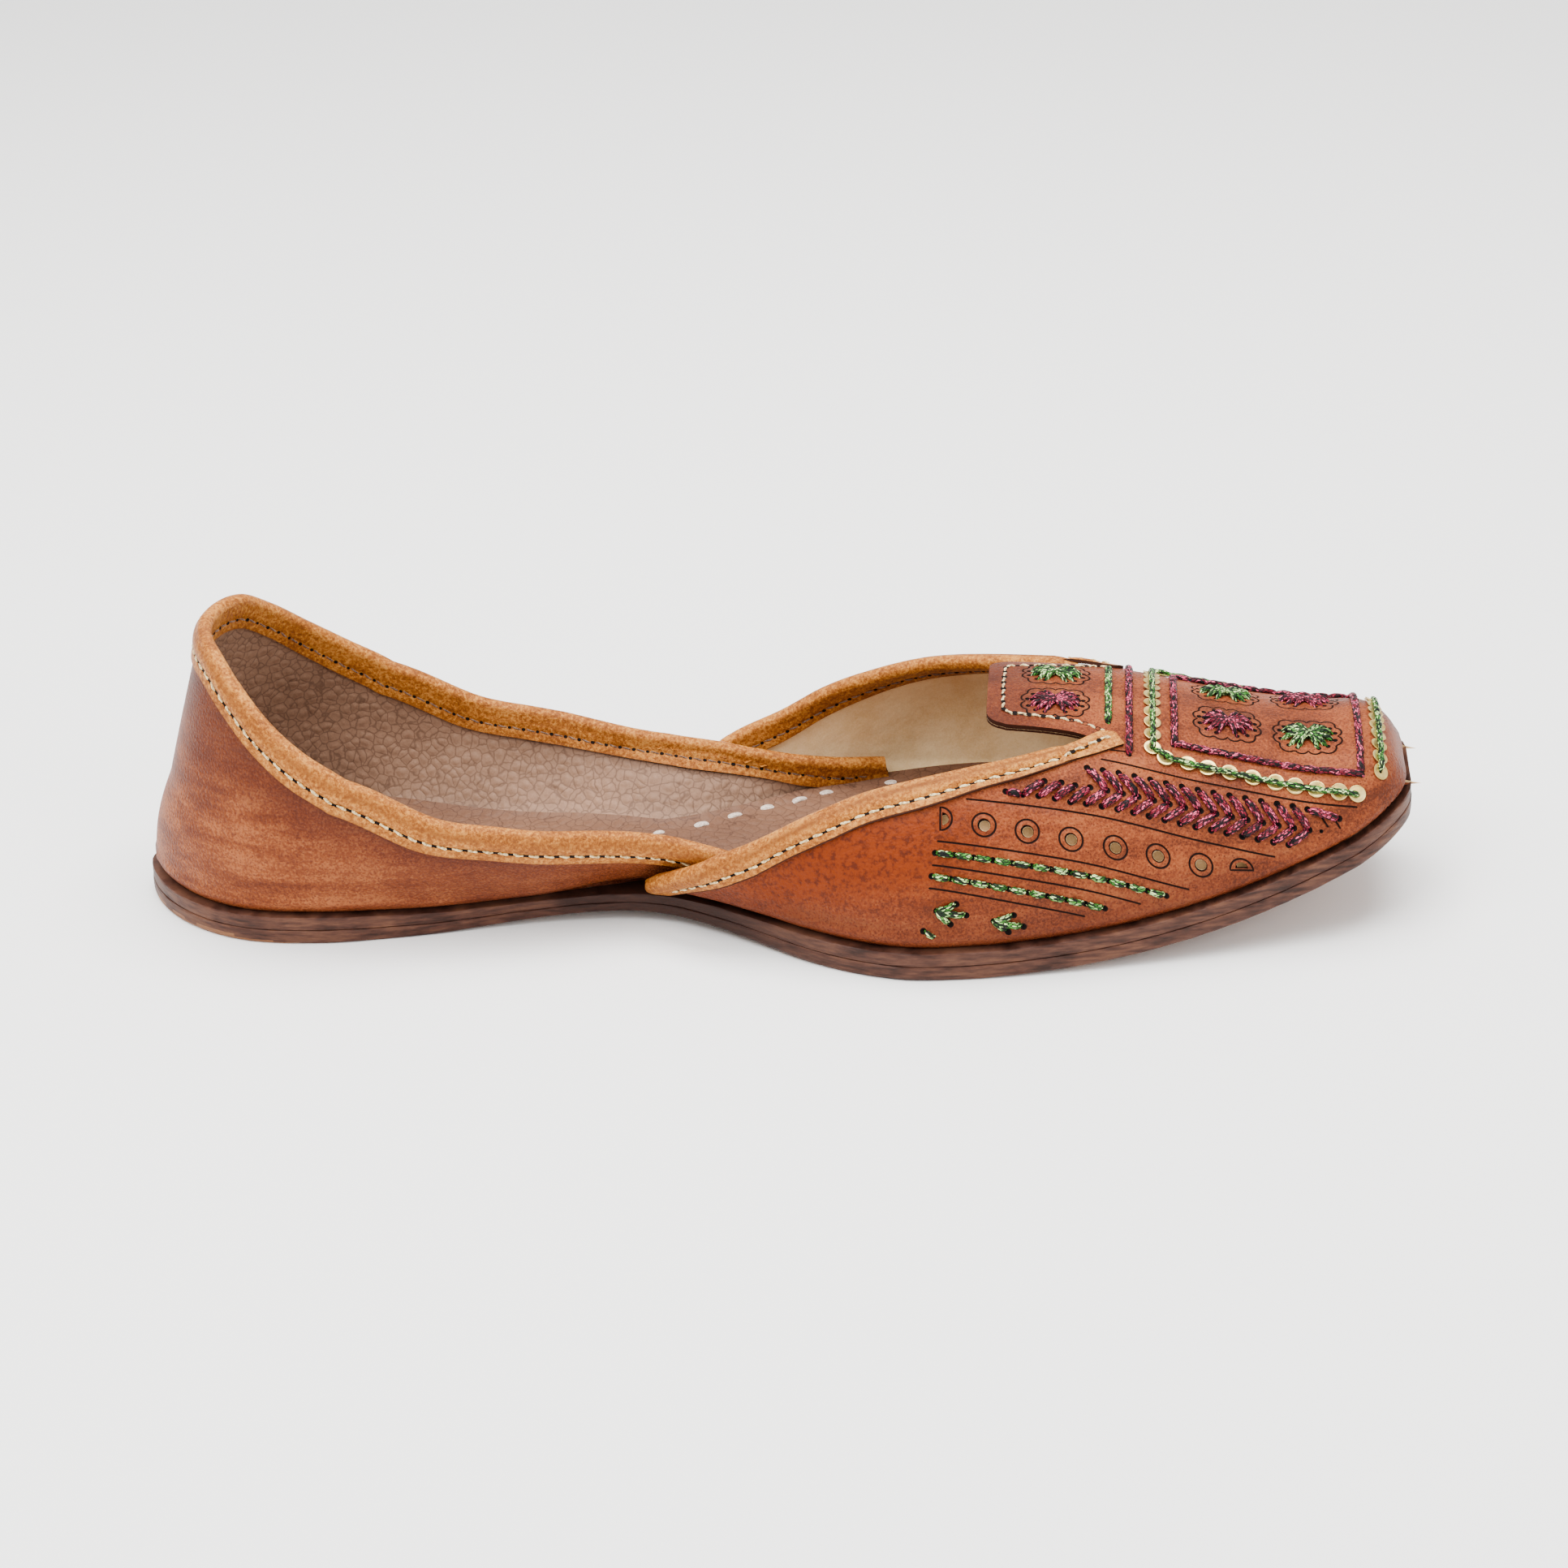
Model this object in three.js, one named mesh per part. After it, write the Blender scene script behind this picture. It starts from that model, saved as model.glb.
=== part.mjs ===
// A mojari: a flat leather slip-on with a squared toe, a square tongue on the vamp,
// a high-backed quarter tucked inside the vamp's two wings, and a bound topline.
// Lengths are millimetres. Working x runs from the heel's back (0) to the toe (length);
// the finished group is centred on the shoe's length. y is across, z is up from the floor.
import * as THREE from 'three';

// Driving sizes of the last and the sole
const length = 260;
const ballWidth = 85.6;
const toeSpring = 20.7;
const archRise = 2.6;
const archStart = 57;
const archEnd = 152;
const waistThinning = 0.35;
const waistStart = 35;
const waistEnd = 150;
const springStart = 165;
const springCurve = 2.4;
const heelRound = 33;
const heelPoint = 0.64;
const heelFlat = 8;
const toeRound = 13;
const toeFlat = 16;

// Driving sizes of the upper
const instepHeight = 38.5;
const heelHeight = 53.8;
const backLean = 15.2;
const leanCurve = 1.1;
const leanFade = 0.5;
const flareCurve = 0.9;
const sideBulge = 1.5;
const heelBulge = 1.1;
const heelBulgeReach = 0.4;
const quarterEnd = 152;
const wingStart = 107;
const tuckRun = 24;
const tuckBlend = 3;
const flankCurve = 1.6;
const throat = 196;
const tongueLength = 20.5;
const tongueWidth = 29;
const tongueCorner = 4;
const toeBoxRound = 9.5;

// Thicknesses and margins
const outsoleThickness = 3;
const midsoleThickness = 2.4;
const insoleThickness = 1.5;
const wall = 1.6;
const bindingThickness = 0.7;
const bindingWidth = 5.4;
const clearance = 0.3;
const bindingGap = 0.4;
const soleMargin = 1.2;
const outsoleBevel = 0.8;
const midsoleStep = 0.4;

// Half-width of the sole: stations as shares of the length, widths as shares of the ball's half-width
const soleSections = [
  { station: 0.000, half: 0.640 },
  { station: 0.110, half: 0.642 },
  { station: 0.165, half: 0.640 },
  { station: 0.231, half: 0.568 },
  { station: 0.308, half: 0.467 },
  { station: 0.377, half: 0.428 },
  { station: 0.423, half: 0.458 },
  { station: 0.462, half: 0.561 },
  { station: 0.500, half: 0.694 },
  { station: 0.538, half: 0.832 },
  { station: 0.577, half: 0.939 },
  { station: 0.615, half: 1.000 },
  { station: 0.654, half: 0.995 },
  { station: 0.692, half: 0.967 },
  { station: 0.769, half: 0.883 },
  { station: 0.846, half: 0.771 },
  { station: 0.923, half: 0.631 },
  { station: 1.000, half: 0.467 },
];

// The vamp's sections: belly is its widest half-width against the sole's half-width there, rise is the
// belly's height and crown the ridge's height as shares of the instep, full the roundness exponent
const vampSections = [
  { station: 0.385, belly: 1.690, rise: 0.360, crown: 0.700, full: 2.6 },
  { station: 0.442, belly: 1.370, rise: 0.320, crown: 0.760, full: 2.6 },
  { station: 0.500, belly: 1.070, rise: 0.200, crown: 0.860, full: 2.6 },
  { station: 0.538, belly: 0.985, rise: 0.100, crown: 0.960, full: 2.5 },
  { station: 0.577, belly: 0.978, rise: 0.060, crown: 1.010, full: 2.2 },
  { station: 0.654, belly: 0.974, rise: 0.050, crown: 1.000, full: 2.4 },
  { station: 0.754, belly: 0.972, rise: 0.050, crown: 0.940, full: 2.3 },
  { station: 0.846, belly: 0.970, rise: 0.050, crown: 0.740, full: 2.1 },
  { station: 0.923, belly: 0.966, rise: 0.050, crown: 0.510, full: 2.1 },
  { station: 1.000, belly: 0.960, rise: 0.050, crown: 0.300, full: 2.2 },
];

// Topline of the vamp's wings: height above the sole as a share of the instep
const wingTopline = [
  { station: 0.410, height: 0.067 },
  { station: 0.423, height: 0.128 },
  { station: 0.462, height: 0.305 },
  { station: 0.500, height: 0.435 },
  { station: 0.538, height: 0.589 },
  { station: 0.577, height: 0.708 },
  { station: 0.615, height: 0.782 },
  { station: 0.654, height: 0.825 },
  { station: 0.700, height: 0.850 },
  { station: 0.754, height: 0.868 },
];

// Topline of the quarter. turn runs 0 at the heel's back, 1 where its round meets the side, 2 at the
// wing's end; half is a share of the ball's half-width and height a share of the heel height
const quarterTopline = [
  { turn: 0.00, half: 0.640, height: 1.000 },
  { turn: 0.33, half: 0.648, height: 0.975 },
  { turn: 0.50, half: 0.658, height: 0.888 },
  { turn: 0.67, half: 0.673, height: 0.766 },
  { turn: 0.83, half: 0.680, height: 0.660 },
  { turn: 1.00, half: 0.685, height: 0.565 },
  { turn: 1.18, half: 0.700, height: 0.426 },
  { turn: 1.36, half: 0.682, height: 0.367 },
  { turn: 1.54, half: 0.652, height: 0.299 },
  { turn: 1.66, half: 0.630, height: 0.254 },
  { turn: 1.78, half: 0.625, height: 0.196 },
  { turn: 1.89, half: 0.705, height: 0.142 },
  { turn: 2.00, half: 0.820, height: 0.102 },
];

// How finely the solids are faceted
const soleSteps = 46;
const roundSteps = 10;
const sideSteps = 20;
const quarterRows = 6;
const wingSteps = 20;
const wingRows = 8;
const crownRows = 4;
const frontSteps = 10;
const toeSteps = 6;
const tongueSteps = 5;
const legSteps = 4;
const rollSteps = 4;
const dropSteps = 12;
const endCrowding = 0.1;
const tipCrowding = 1.25;
const wingReach = 60;

const ballHalf = ballWidth / 2;
const upperFoot = outsoleThickness + midsoleThickness + 2 * clearance;
const upperEnd = length - soleMargin;
const bindingStandoff = bindingGap + bindingThickness;
const footGap = bindingStandoff + clearance;
const tuckDepth = wall + 2 * bindingStandoff + 2 * clearance;
const footTuck = wall + bindingStandoff + clearance;

const lerp = THREE.MathUtils.lerp;
const clamp = THREE.MathUtils.clamp;
const smoothstep = THREE.MathUtils.smoothstep;

// A smooth curve through one column of a table
function along(rows, key, column, at) {
  const last = rows.length - 1;
  let i = 0;
  while (i < last - 1 && at > rows[i + 1][key]) i += 1;
  const slope = (k) => {
    const before = rows[Math.max(k - 1, 0)];
    const after = rows[Math.min(k + 1, last)];
    return (after[column] - before[column]) / (after[key] - before[key]);
  };
  const span = rows[i + 1][key] - rows[i][key];
  const t = clamp((at - rows[i][key]) / span, 0, 1);
  const rise = rows[i + 1][column] - rows[i][column];
  const a = slope(i) * span - rise;
  const b = rise - slope(i + 1) * span;
  return lerp(rows[i][column], rows[i + 1][column], t) + t * (1 - t) * (a * (1 - t) + b * t);
}

// Between two ends, with steps that grow closer towards both
function eased(from, to, t) {
  return lerp(from, to, t - endCrowding * Math.sin(2 * Math.PI * t));
}

function softMin(a, b, blend) {
  return (a + b - Math.hypot(a - b, blend)) / 2;
}

const quarterCircle = (t) => Math.sqrt(Math.max(0, 1 - t * t));

// The sole's plan and its underside, which is flat at the heel and the forefoot. The heel's round is
// fuller than a circle's arc where heelPoint is under a half, and more pointed where it is over.
function soleTable(x) {
  return ballHalf * along(soleSections, 'station', 'half', x / length);
}

function soleHalf(x, inset = 0) {
  const heel = Math.pow(1 - clamp((heelRound - x) / (heelRound - inset), 0, 1) ** 2, heelPoint);
  const toe = quarterCircle(clamp((x - length + toeRound) / (toeRound - inset), 0, 1));
  return lerp(toeFlat / 2, (soleTable(x) - inset) * heel, toe);
}

function soleBottom(x) {
  const spring = toeSpring * Math.pow(Math.max(0, (x - springStart) / (length - springStart)), springCurve);
  const archShare = clamp((x - archStart) / (archEnd - archStart), 0, 1);
  return spring + archRise * Math.sin(Math.PI * archShare) ** 2;
}

// The sole's layers are skived thinner towards the waist
function skiving(x) {
  const share = clamp((x - waistStart) / (waistEnd - waistStart), 0, 1);
  return 1 - waistThinning * Math.sin(Math.PI * share) ** 2;
}

const footOf = (x) => soleBottom(x) + upperFoot * skiving(x);

// A patch is a grid of points, faced so that its first direction crossed with its second points out
function patch(columns, rows, pointAt) {
  const grid = [];
  for (const column of columns) grid.push(rows.map((row) => pointAt(column, row)));
  return grid;
}

// Joins patches into one open skin with shared points, each cell split along its shorter diagonal
function skinOf(patches) {
  const points = [];
  const faces = [];
  const known = new Map();
  const indexOf = (p) => {
    const key = [p.x, p.y, p.z].map((v) => Math.round(v * 1000)).join(',');
    if (!known.has(key)) {
      known.set(key, points.length);
      points.push(p);
    }
    return known.get(key);
  };
  const addFace = (a, b, c) => {
    if (a !== b && b !== c && c !== a) faces.push([a, b, c]);
  };
  for (const grid of patches) {
    const index = grid.map((column) => column.map(indexOf));
    for (let i = 0; i < index.length - 1; i += 1) {
      for (let j = 0; j < index[i].length - 1; j += 1) {
        const [a, b, c, d] = [index[i][j], index[i + 1][j], index[i + 1][j + 1], index[i][j + 1]];
        if (points[a].distanceTo(points[c]) < points[b].distanceTo(points[d])) {
          addFace(a, b, c);
          addFace(a, c, d);
        } else {
          addFace(a, b, d);
          addFace(b, c, d);
        }
      }
    }
  }
  return { points, faces };
}

function normalsOf({ points, faces }) {
  const normals = points.map(() => new THREE.Vector3());
  for (const [a, b, c] of faces) {
    const face = new THREE.Vector3().subVectors(points[b], points[a])
      .cross(new THREE.Vector3().subVectors(points[c], points[a]));
    for (const k of [a, b, c]) normals[k].add(face);
  }
  return normals.map((n) => n.normalize());
}

// Gives a skin a wall: innerOf returns the inside point for each outside point
function walled(skin, innerOf) {
  const normals = normalsOf(skin);
  const count = skin.points.length;
  const points = [...skin.points, ...skin.points.map((p, k) => innerOf(p, normals[k]))];
  const faces = [];
  const edges = new Map();
  for (const [a, b, c] of skin.faces) {
    faces.push([a, b, c], [a + count, c + count, b + count]);
    for (const [p, q] of [[a, b], [b, c], [c, a]]) {
      if (edges.has(`${q},${p}`)) edges.delete(`${q},${p}`);
      else edges.set(`${p},${q}`, [p, q]);
    }
  }
  for (const [p, q] of edges.values()) {
    faces.push([q, p, p + count], [q, p + count, q + count]);
  }
  return geometryOf(points, faces);
}

// A solid lofted along x through closed rings, each counterclockwise seen from the toe
function lofted(rings) {
  const size = rings[0].length;
  const points = rings.flat();
  const faces = [];
  const at = (i, j) => i * size + (j % size);
  for (let i = 0; i < rings.length - 1; i += 1) {
    for (let j = 0; j < size; j += 1) {
      faces.push([at(i, j), at(i, j + 1), at(i + 1, j + 1)], [at(i, j), at(i + 1, j + 1), at(i + 1, j)]);
    }
  }
  const last = rings.length - 1;
  for (let j = 1; j < size - 1; j += 1) {
    faces.push([at(0, 0), at(0, j + 1), at(0, j)], [at(last, 0), at(last, j), at(last, j + 1)]);
  }
  return geometryOf(points, faces);
}

function geometryOf(points, faces) {
  const geometry = new THREE.BufferGeometry();
  const positions = points.flatMap((p) => [p.x - length / 2, p.y, p.z]);
  geometry.setAttribute('position', new THREE.Float32BufferAttribute(positions, 3));
  geometry.setIndex(faces.flat());
  geometry.computeVertexNormals();
  return geometry;
}

// One layer of the sole between two heights over the underside, its edge cut in by inset
function soleLayer(low, high, inset, bevel) {
  const rings = [];
  for (let i = 0; i <= soleSteps; i += 1) {
    const x = eased(inset, length - inset, i / soleSteps);
    const half = Math.max(soleHalf(x, inset), heelFlat / 2);
    const under = half - bevel;
    const point = (y, z) => new THREE.Vector3(x, y, soleBottom(x) + z * skiving(x));
    rings.push([
      point(-under, low),
      point(under, low),
      point(half, low + bevel),
      point(half, high),
      point(-half, high),
      point(-half, low + bevel),
    ]);
  }
  return lofted(rings);
}

// The insole lies on the midsole and follows the walls: the quarter's as far as its wings reach, then
// the vamp's. It steps in where a wing is so low that its binding comes down beside the insole.
function besideQuarter(x) {
  const turn = 1 + (x - heelRound) / (quarterEnd - heelRound);
  const step = 0.01;
  const half = quarterPoint(turn, 1, 0).y;
  const run = (half - quarterPoint(turn - step, 1, 0).y) / (step * (quarterEnd - heelRound));
  const tall = heelHeight * along(quarterTopline, 'turn', 'height', turn);
  const sunk = 1 - smoothstep(tall - bindingWidth, 0, 2 * insoleThickness);
  return half - (wall + 3 * clearance + footGap * sunk) * Math.hypot(1, run);
}

function insoleHalf(x) {
  const free = (at) => soleHalf(at, soleMargin + wall + 2 * clearance);
  if (x < heelRound) return free(x);
  if (x < quarterEnd) return Math.min(free(x), besideQuarter(x));
  const fading = 1 - smoothstep(x, quarterEnd + 2 * footGap, quarterEnd + tuckRun);
  return free(x) - fading * (free(quarterEnd) - besideQuarter(quarterEnd));
}

function insoleSolid() {
  const margin = soleMargin + wall + 5 * clearance;
  const rings = [];
  for (let i = 0; i <= soleSteps; i += 1) {
    const x = eased(margin, length - margin, i / soleSteps);
    const half = Math.max(insoleHalf(x), heelFlat / 2);
    const point = (y, z) => new THREE.Vector3(x, y, footOf(x) + z);
    const high = insoleThickness;
    rings.push([point(-half, 0), point(half, 0), point(half, high), point(-half, high)]);
  }
  return lofted(rings);
}

// The quarter: turn runs from 0 at the heel's back to 2 at the wing's end, side is 1 or -1.
// Ahead of the wing's start it is tucked inside the vamp's wall and the two bindings.
function quarterPoint(turn, side, up) {
  const round = Math.min(turn, 1) * Math.PI / 2;
  const sideShare = Math.max(turn - 1, 0);
  const footX = turn <= 1
    ? soleMargin + (heelRound - soleMargin) * (1 - Math.cos(round))
    : lerp(heelRound, quarterEnd, sideShare);
  const lean = backLean * Math.pow(up, leanCurve) * (1 - smoothstep(sideShare, 0, leanFade));
  const cup = heelBulge * Math.sin(Math.PI * Math.min(1, up / heelBulgeReach)) * (1 - smoothstep(turn, 0, 1));
  const x = footX + lean - cup;
  const foot = footOf(x);
  const z = foot + up * heelHeight * along(quarterTopline, 'turn', 'height', turn);
  const footHalf = soleTable(footX) - soleMargin;
  const topHalf = ballHalf * along(quarterTopline, 'turn', 'half', turn);
  const free = lerp(footHalf, topHalf, Math.pow(up, flareCurve)) + sideBulge * Math.sin(Math.PI * up);
  const depth = lerp(footTuck, tuckDepth, smoothstep(up, 0, 0.5));
  const tucked = insideVamp(Math.max(x, wingStart), z, depth);
  const overlap = smoothstep(x, wingStart - tuckRun, wingStart);
  const point = 2 * lerp(heelPoint, 0.5, smoothstep(up, 0, heelBulgeReach));
  const half = lerp(free, softMin(free, tucked, tuckBlend), overlap) * Math.pow(Math.sin(round), point);
  return new THREE.Vector3(x, side * half, z);
}

// The vamp ends in a rounded toe box
function toeDrop(x) {
  return quarterCircle(clamp((x - upperEnd + toeBoxRound) / toeBoxRound, 0, 1));
}

function vampSection(x) {
  const share = x / length;
  const half = soleHalf(Math.min(x, upperEnd), soleMargin);
  const spread = along(vampSections, 'station', 'belly', share);
  const drop = toeDrop(x);
  return {
    foot: footOf(x),
    footHalf: half,
    belly: (half + soleMargin) * spread,
    rise: instepHeight * along(vampSections, 'station', 'rise', share) * drop,
    crown: instepHeight * along(vampSections, 'station', 'crown', share) * drop,
    full: along(vampSections, 'station', 'full', share),
  };
}

function vampHalfAt(x, z) {
  const s = vampSection(x);
  const h = z - s.foot;
  if (h <= 0) return s.footHalf;
  if (h < s.rise) return lerp(s.belly, s.footHalf, Math.pow(1 - h / s.rise, flankCurve));
  const t = clamp((h - s.rise) / (s.crown - s.rise), 0, 1);
  return s.belly * Math.pow(1 - Math.pow(t, s.full), 1 / s.full);
}

// Half-width of the surface that lies a depth inside the vamp's outer face
function insideVamp(x, z, depth) {
  const step = 0.5;
  const half = vampHalfAt(x, z);
  const rise = (vampHalfAt(x, z + step) - half) / step;
  const run = (vampHalfAt(x + step, z) - half) / step;
  return half - depth * Math.hypot(1, rise, run);
}

function vampHeightAt(x, y) {
  const s = vampSection(x);
  const t = clamp(Math.abs(y) / s.belly, 0, 1);
  return s.foot + s.rise + (s.crown - s.rise) * Math.pow(1 - Math.pow(t, s.full), 1 / s.full);
}

function wingTop(x) {
  return footOf(x) + instepHeight * along(wingTopline, 'station', 'height', x / length);
}

// Shares up the wing, closer together towards the top
function wingShares() {
  const shares = [];
  const reach = THREE.MathUtils.degToRad(wingReach);
  for (let j = 0; j <= wingRows; j += 1) shares.push(Math.sin(reach * j / wingRows) / Math.sin(reach));
  return shares;
}

// Stations along a wing, closer together towards its rear tip
function wingStations() {
  const stations = [];
  for (let i = 0; i <= wingSteps; i += 1) {
    stations.push(lerp(wingStart, throat, Math.pow(i / wingSteps, tipCrowding)));
  }
  return stations;
}

function wingPoint(x, side, share) {
  const z = lerp(footOf(x), wingTop(x), share);
  return new THREE.Vector3(x, side * vampHalfAt(x, z), z);
}

// Ahead of the throat the flanks go up to the line that the wings' topline ends on
function flankPoint(x, side, share) {
  const atThroat = vampSection(throat);
  const top = (wingTop(throat) - atThroat.foot) / atThroat.crown;
  const s = vampSection(x);
  const z = s.foot + s.crown * top * share;
  return new THREE.Vector3(x, side * vampHalfAt(x, z), z);
}

// Between those lines runs the crown; across goes from -1 on the near one to 1 on the far one
function crownPoint(x, across) {
  if (Math.abs(across) === 1) return flankPoint(x, across, 1);
  const y = across * flankPoint(x, 1, 1).y;
  return new THREE.Vector3(x, y, vampHeightAt(x, y));
}

// The tongue runs back from the throat's corners and narrows to its own width
function tonguePoint(back, across) {
  if (back === 1) return crownPoint(throat, across);
  const over = Math.max(0, (Math.abs(across) - 1) * tongueWidth / 2 + tongueCorner);
  const rounded = tongueCorner * (1 - quarterCircle(over / tongueCorner));
  const x = lerp(throat - tongueLength + rounded, throat, back);
  const widening = Math.sqrt(clamp((throat - x) / tongueLength, 0, 1));
  const y = across * lerp(crownPoint(throat, 1).y, tongueWidth / 2, widening);
  return new THREE.Vector3(x, y, vampHeightAt(x, y));
}

function frontStations() {
  const stations = [];
  const roundStart = upperEnd - toeBoxRound;
  for (let i = 0; i < frontSteps; i += 1) stations.push(lerp(throat, roundStart, i / frontSteps));
  for (let i = 0; i <= toeSteps; i += 1) {
    stations.push(roundStart + toeBoxRound * Math.sin(Math.PI / 2 * i / toeSteps));
  }
  return stations;
}

function onTheSole(p) {
  return Math.abs(p.z - footOf(p.x)) < 0.01;
}

// The inner face lies one wall inside; along the foot it stays on the sole
function insideOf(p, n) {
  const flat = onTheSole(p);
  const inward = flat ? new THREE.Vector3(n.x, n.y, 0).normalize() : n;
  const inner = p.clone().addScaledVector(inward, -wall);
  if (flat) inner.z = footOf(inner.x);
  return inner;
}

// Turns from the far wing's end round the heel to the near wing's end, the far side's negative
function quarterTurns() {
  const turns = [0];
  for (let i = 1; i <= roundSteps; i += 1) turns.push(i / roundSteps);
  for (let i = 1; i <= sideSteps; i += 1) turns.push(1 + i / sideSteps);
  return [...turns.slice(1).reverse().map((turn) => -turn), ...turns];
}

const quarterSurface = (turn, up) => quarterPoint(Math.abs(turn), turn < 0 ? 1 : -1, up);

function quarterSkin() {
  const ups = [];
  for (let j = 0; j <= quarterRows; j += 1) ups.push(j / quarterRows);
  return skinOf([patch(quarterTurns(), ups, quarterSurface)]);
}

function vampSkin() {
  const shares = wingShares();
  const nearRows = shares;
  const farRows = [...shares].reverse();
  const wings = [
    patch(wingStations(), nearRows, (x, share) => wingPoint(x, -1, share)),
    patch(wingStations(), farRows, (x, share) => wingPoint(x, 1, share)),
  ];
  const crossings = [];
  for (let j = -crownRows; j <= crownRows; j += 1) crossings.push(j / crownRows);
  const front = [
    patch(frontStations(), nearRows, (x, share) => flankPoint(x, -1, share)),
    patch(frontStations(), crossings, crownPoint),
    patch(frontStations(), farRows, (x, share) => flankPoint(x, 1, share)),
  ];
  const backs = [];
  for (let i = 0; i <= tongueSteps; i += 1) backs.push(i / tongueSteps);
  const tongue = patch(backs, crossings, tonguePoint);
  return skinOf([...wings, ...front, tongue]);
}

// A binding is folded over an edge of a wall: an outer leg, a roll and an inner leg. An edge gives the
// surface's coordinate along the wall, the leg's share of its height and the side that faces out.
function faceNormal(surface, edge, up) {
  const step = 0.002;
  const at = surface(edge.at, up);
  const beside = surface(edge.at + step, up).sub(at);
  const below = surface(edge.at, up - step).sub(at);
  return below.cross(beside).multiplyScalar(edge.facing).normalize();
}

function bindingPoint(surface, edge, row) {
  if (row.angle === undefined) {
    const up = 1 - edge.leg * row.leg;
    const standoff = row.inner ? -wall - bindingStandoff : bindingStandoff;
    return surface(edge.at, up).addScaledVector(faceNormal(surface, edge, up), standoff);
  }
  const top = surface(edge.at, 1);
  const out = faceNormal(surface, edge, 1);
  const upward = surface(edge.at, 1 - edge.leg).sub(top).negate();
  upward.addScaledVector(out, -upward.dot(out)).normalize();
  const radius = wall / 2 + bindingStandoff;
  return top.addScaledVector(out, radius * Math.cos(row.angle) - wall / 2)
    .addScaledVector(upward, radius * Math.sin(row.angle));
}

function bindingRows() {
  const legs = [];
  for (let j = legSteps; j > 0; j -= 1) legs.push(j / legSteps);
  const roll = [];
  for (let j = 0; j <= rollSteps; j += 1) roll.push({ angle: Math.PI * j / rollSteps });
  const inner = legs.map((leg) => ({ leg, inner: true })).reverse();
  return [...legs.map((leg) => ({ leg })), ...roll, ...inner];
}

function bindingSolid(edges, surface) {
  const skin = skinOf([patch(edges, bindingRows(), (edge, row) => bindingPoint(surface, edge, row))]);
  return walled(skin, (p, n) => p.clone().addScaledVector(n, -bindingThickness));
}

function quarterBinding() {
  const edges = quarterTurns().map((at) => {
    const tall = heelHeight * along(quarterTopline, 'turn', 'height', Math.abs(at));
    return { at, facing: 1, leg: Math.min(bindingWidth, tall - footGap) / tall };
  });
  return bindingSolid(edges, quarterSurface);
}

// Height that a strip of the binding's width takes where it hangs down the vamp's face
function bindingDrop(x) {
  const slope = wingTop(x + 0.5) - wingTop(x - 0.5);
  const part = bindingWidth * Math.hypot(1, slope) / dropSteps;
  let z = wingTop(x);
  for (let i = 0; i < dropSteps; i += 1) {
    const lean = (vampHalfAt(x, z - part / 2) - vampHalfAt(x, z)) / (part / 2);
    z -= part / Math.hypot(1, lean);
  }
  return wingTop(x) - z;
}

function vampBinding(side) {
  const edges = wingStations().slice(1, -1).map((at) => {
    const tall = wingTop(at) - footOf(at);
    return { at, facing: -side, leg: Math.min(bindingDrop(at), tall - footGap) / tall };
  });
  return bindingSolid(side < 0 ? edges : edges.reverse(), (x, up) => wingPoint(x, side, up));
}

const tanLeather = { color: 0xb5713a, roughness: 0.5, metalness: 0 };
const burnishedLeather = { color: 0x96542c, roughness: 0.38, metalness: 0 };
const soleLeather = { color: 0x4f2a1c, roughness: 0.6, metalness: 0 };
const liningLeather = { color: 0x9a7763, roughness: 0.7, metalness: 0 };

const shoe = new THREE.Group();

function add(name, geometry, finish) {
  const mesh = new THREE.Mesh(geometry, new THREE.MeshStandardMaterial(finish));
  mesh.name = name;
  shoe.add(mesh);
}

add('outsole', soleLayer(0, outsoleThickness, 0, outsoleBevel), soleLeather);
add('midsole', soleLayer(outsoleThickness + clearance, upperFoot - clearance, midsoleStep, 0), soleLeather);
add('insole', insoleSolid(), liningLeather);
add('quarter', walled(quarterSkin(), insideOf), burnishedLeather);
add('vamp', walled(vampSkin(), insideOf), burnishedLeather);
add('quarter_binding', quarterBinding(), tanLeather);
add('vamp_binding_left', vampBinding(1), tanLeather);
add('vamp_binding_right', vampBinding(-1), tanLeather);

export default shoe;
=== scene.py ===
import math
import random

import bpy
import numpy as np
from mathutils import Matrix, Vector
from mathutils.geometry import delaunay_2d_cdt


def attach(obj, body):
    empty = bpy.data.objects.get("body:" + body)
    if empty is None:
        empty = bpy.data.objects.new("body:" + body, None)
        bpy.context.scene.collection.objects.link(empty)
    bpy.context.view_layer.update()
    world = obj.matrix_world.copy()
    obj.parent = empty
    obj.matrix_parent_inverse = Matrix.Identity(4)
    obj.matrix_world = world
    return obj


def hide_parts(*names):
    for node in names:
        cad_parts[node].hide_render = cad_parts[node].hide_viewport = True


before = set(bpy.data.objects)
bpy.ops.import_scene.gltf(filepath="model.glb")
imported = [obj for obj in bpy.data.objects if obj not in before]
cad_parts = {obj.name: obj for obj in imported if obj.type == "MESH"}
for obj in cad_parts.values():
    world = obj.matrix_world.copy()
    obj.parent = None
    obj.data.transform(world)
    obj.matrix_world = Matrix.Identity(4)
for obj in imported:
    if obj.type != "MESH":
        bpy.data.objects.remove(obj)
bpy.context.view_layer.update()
mm = 0.001

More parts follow.
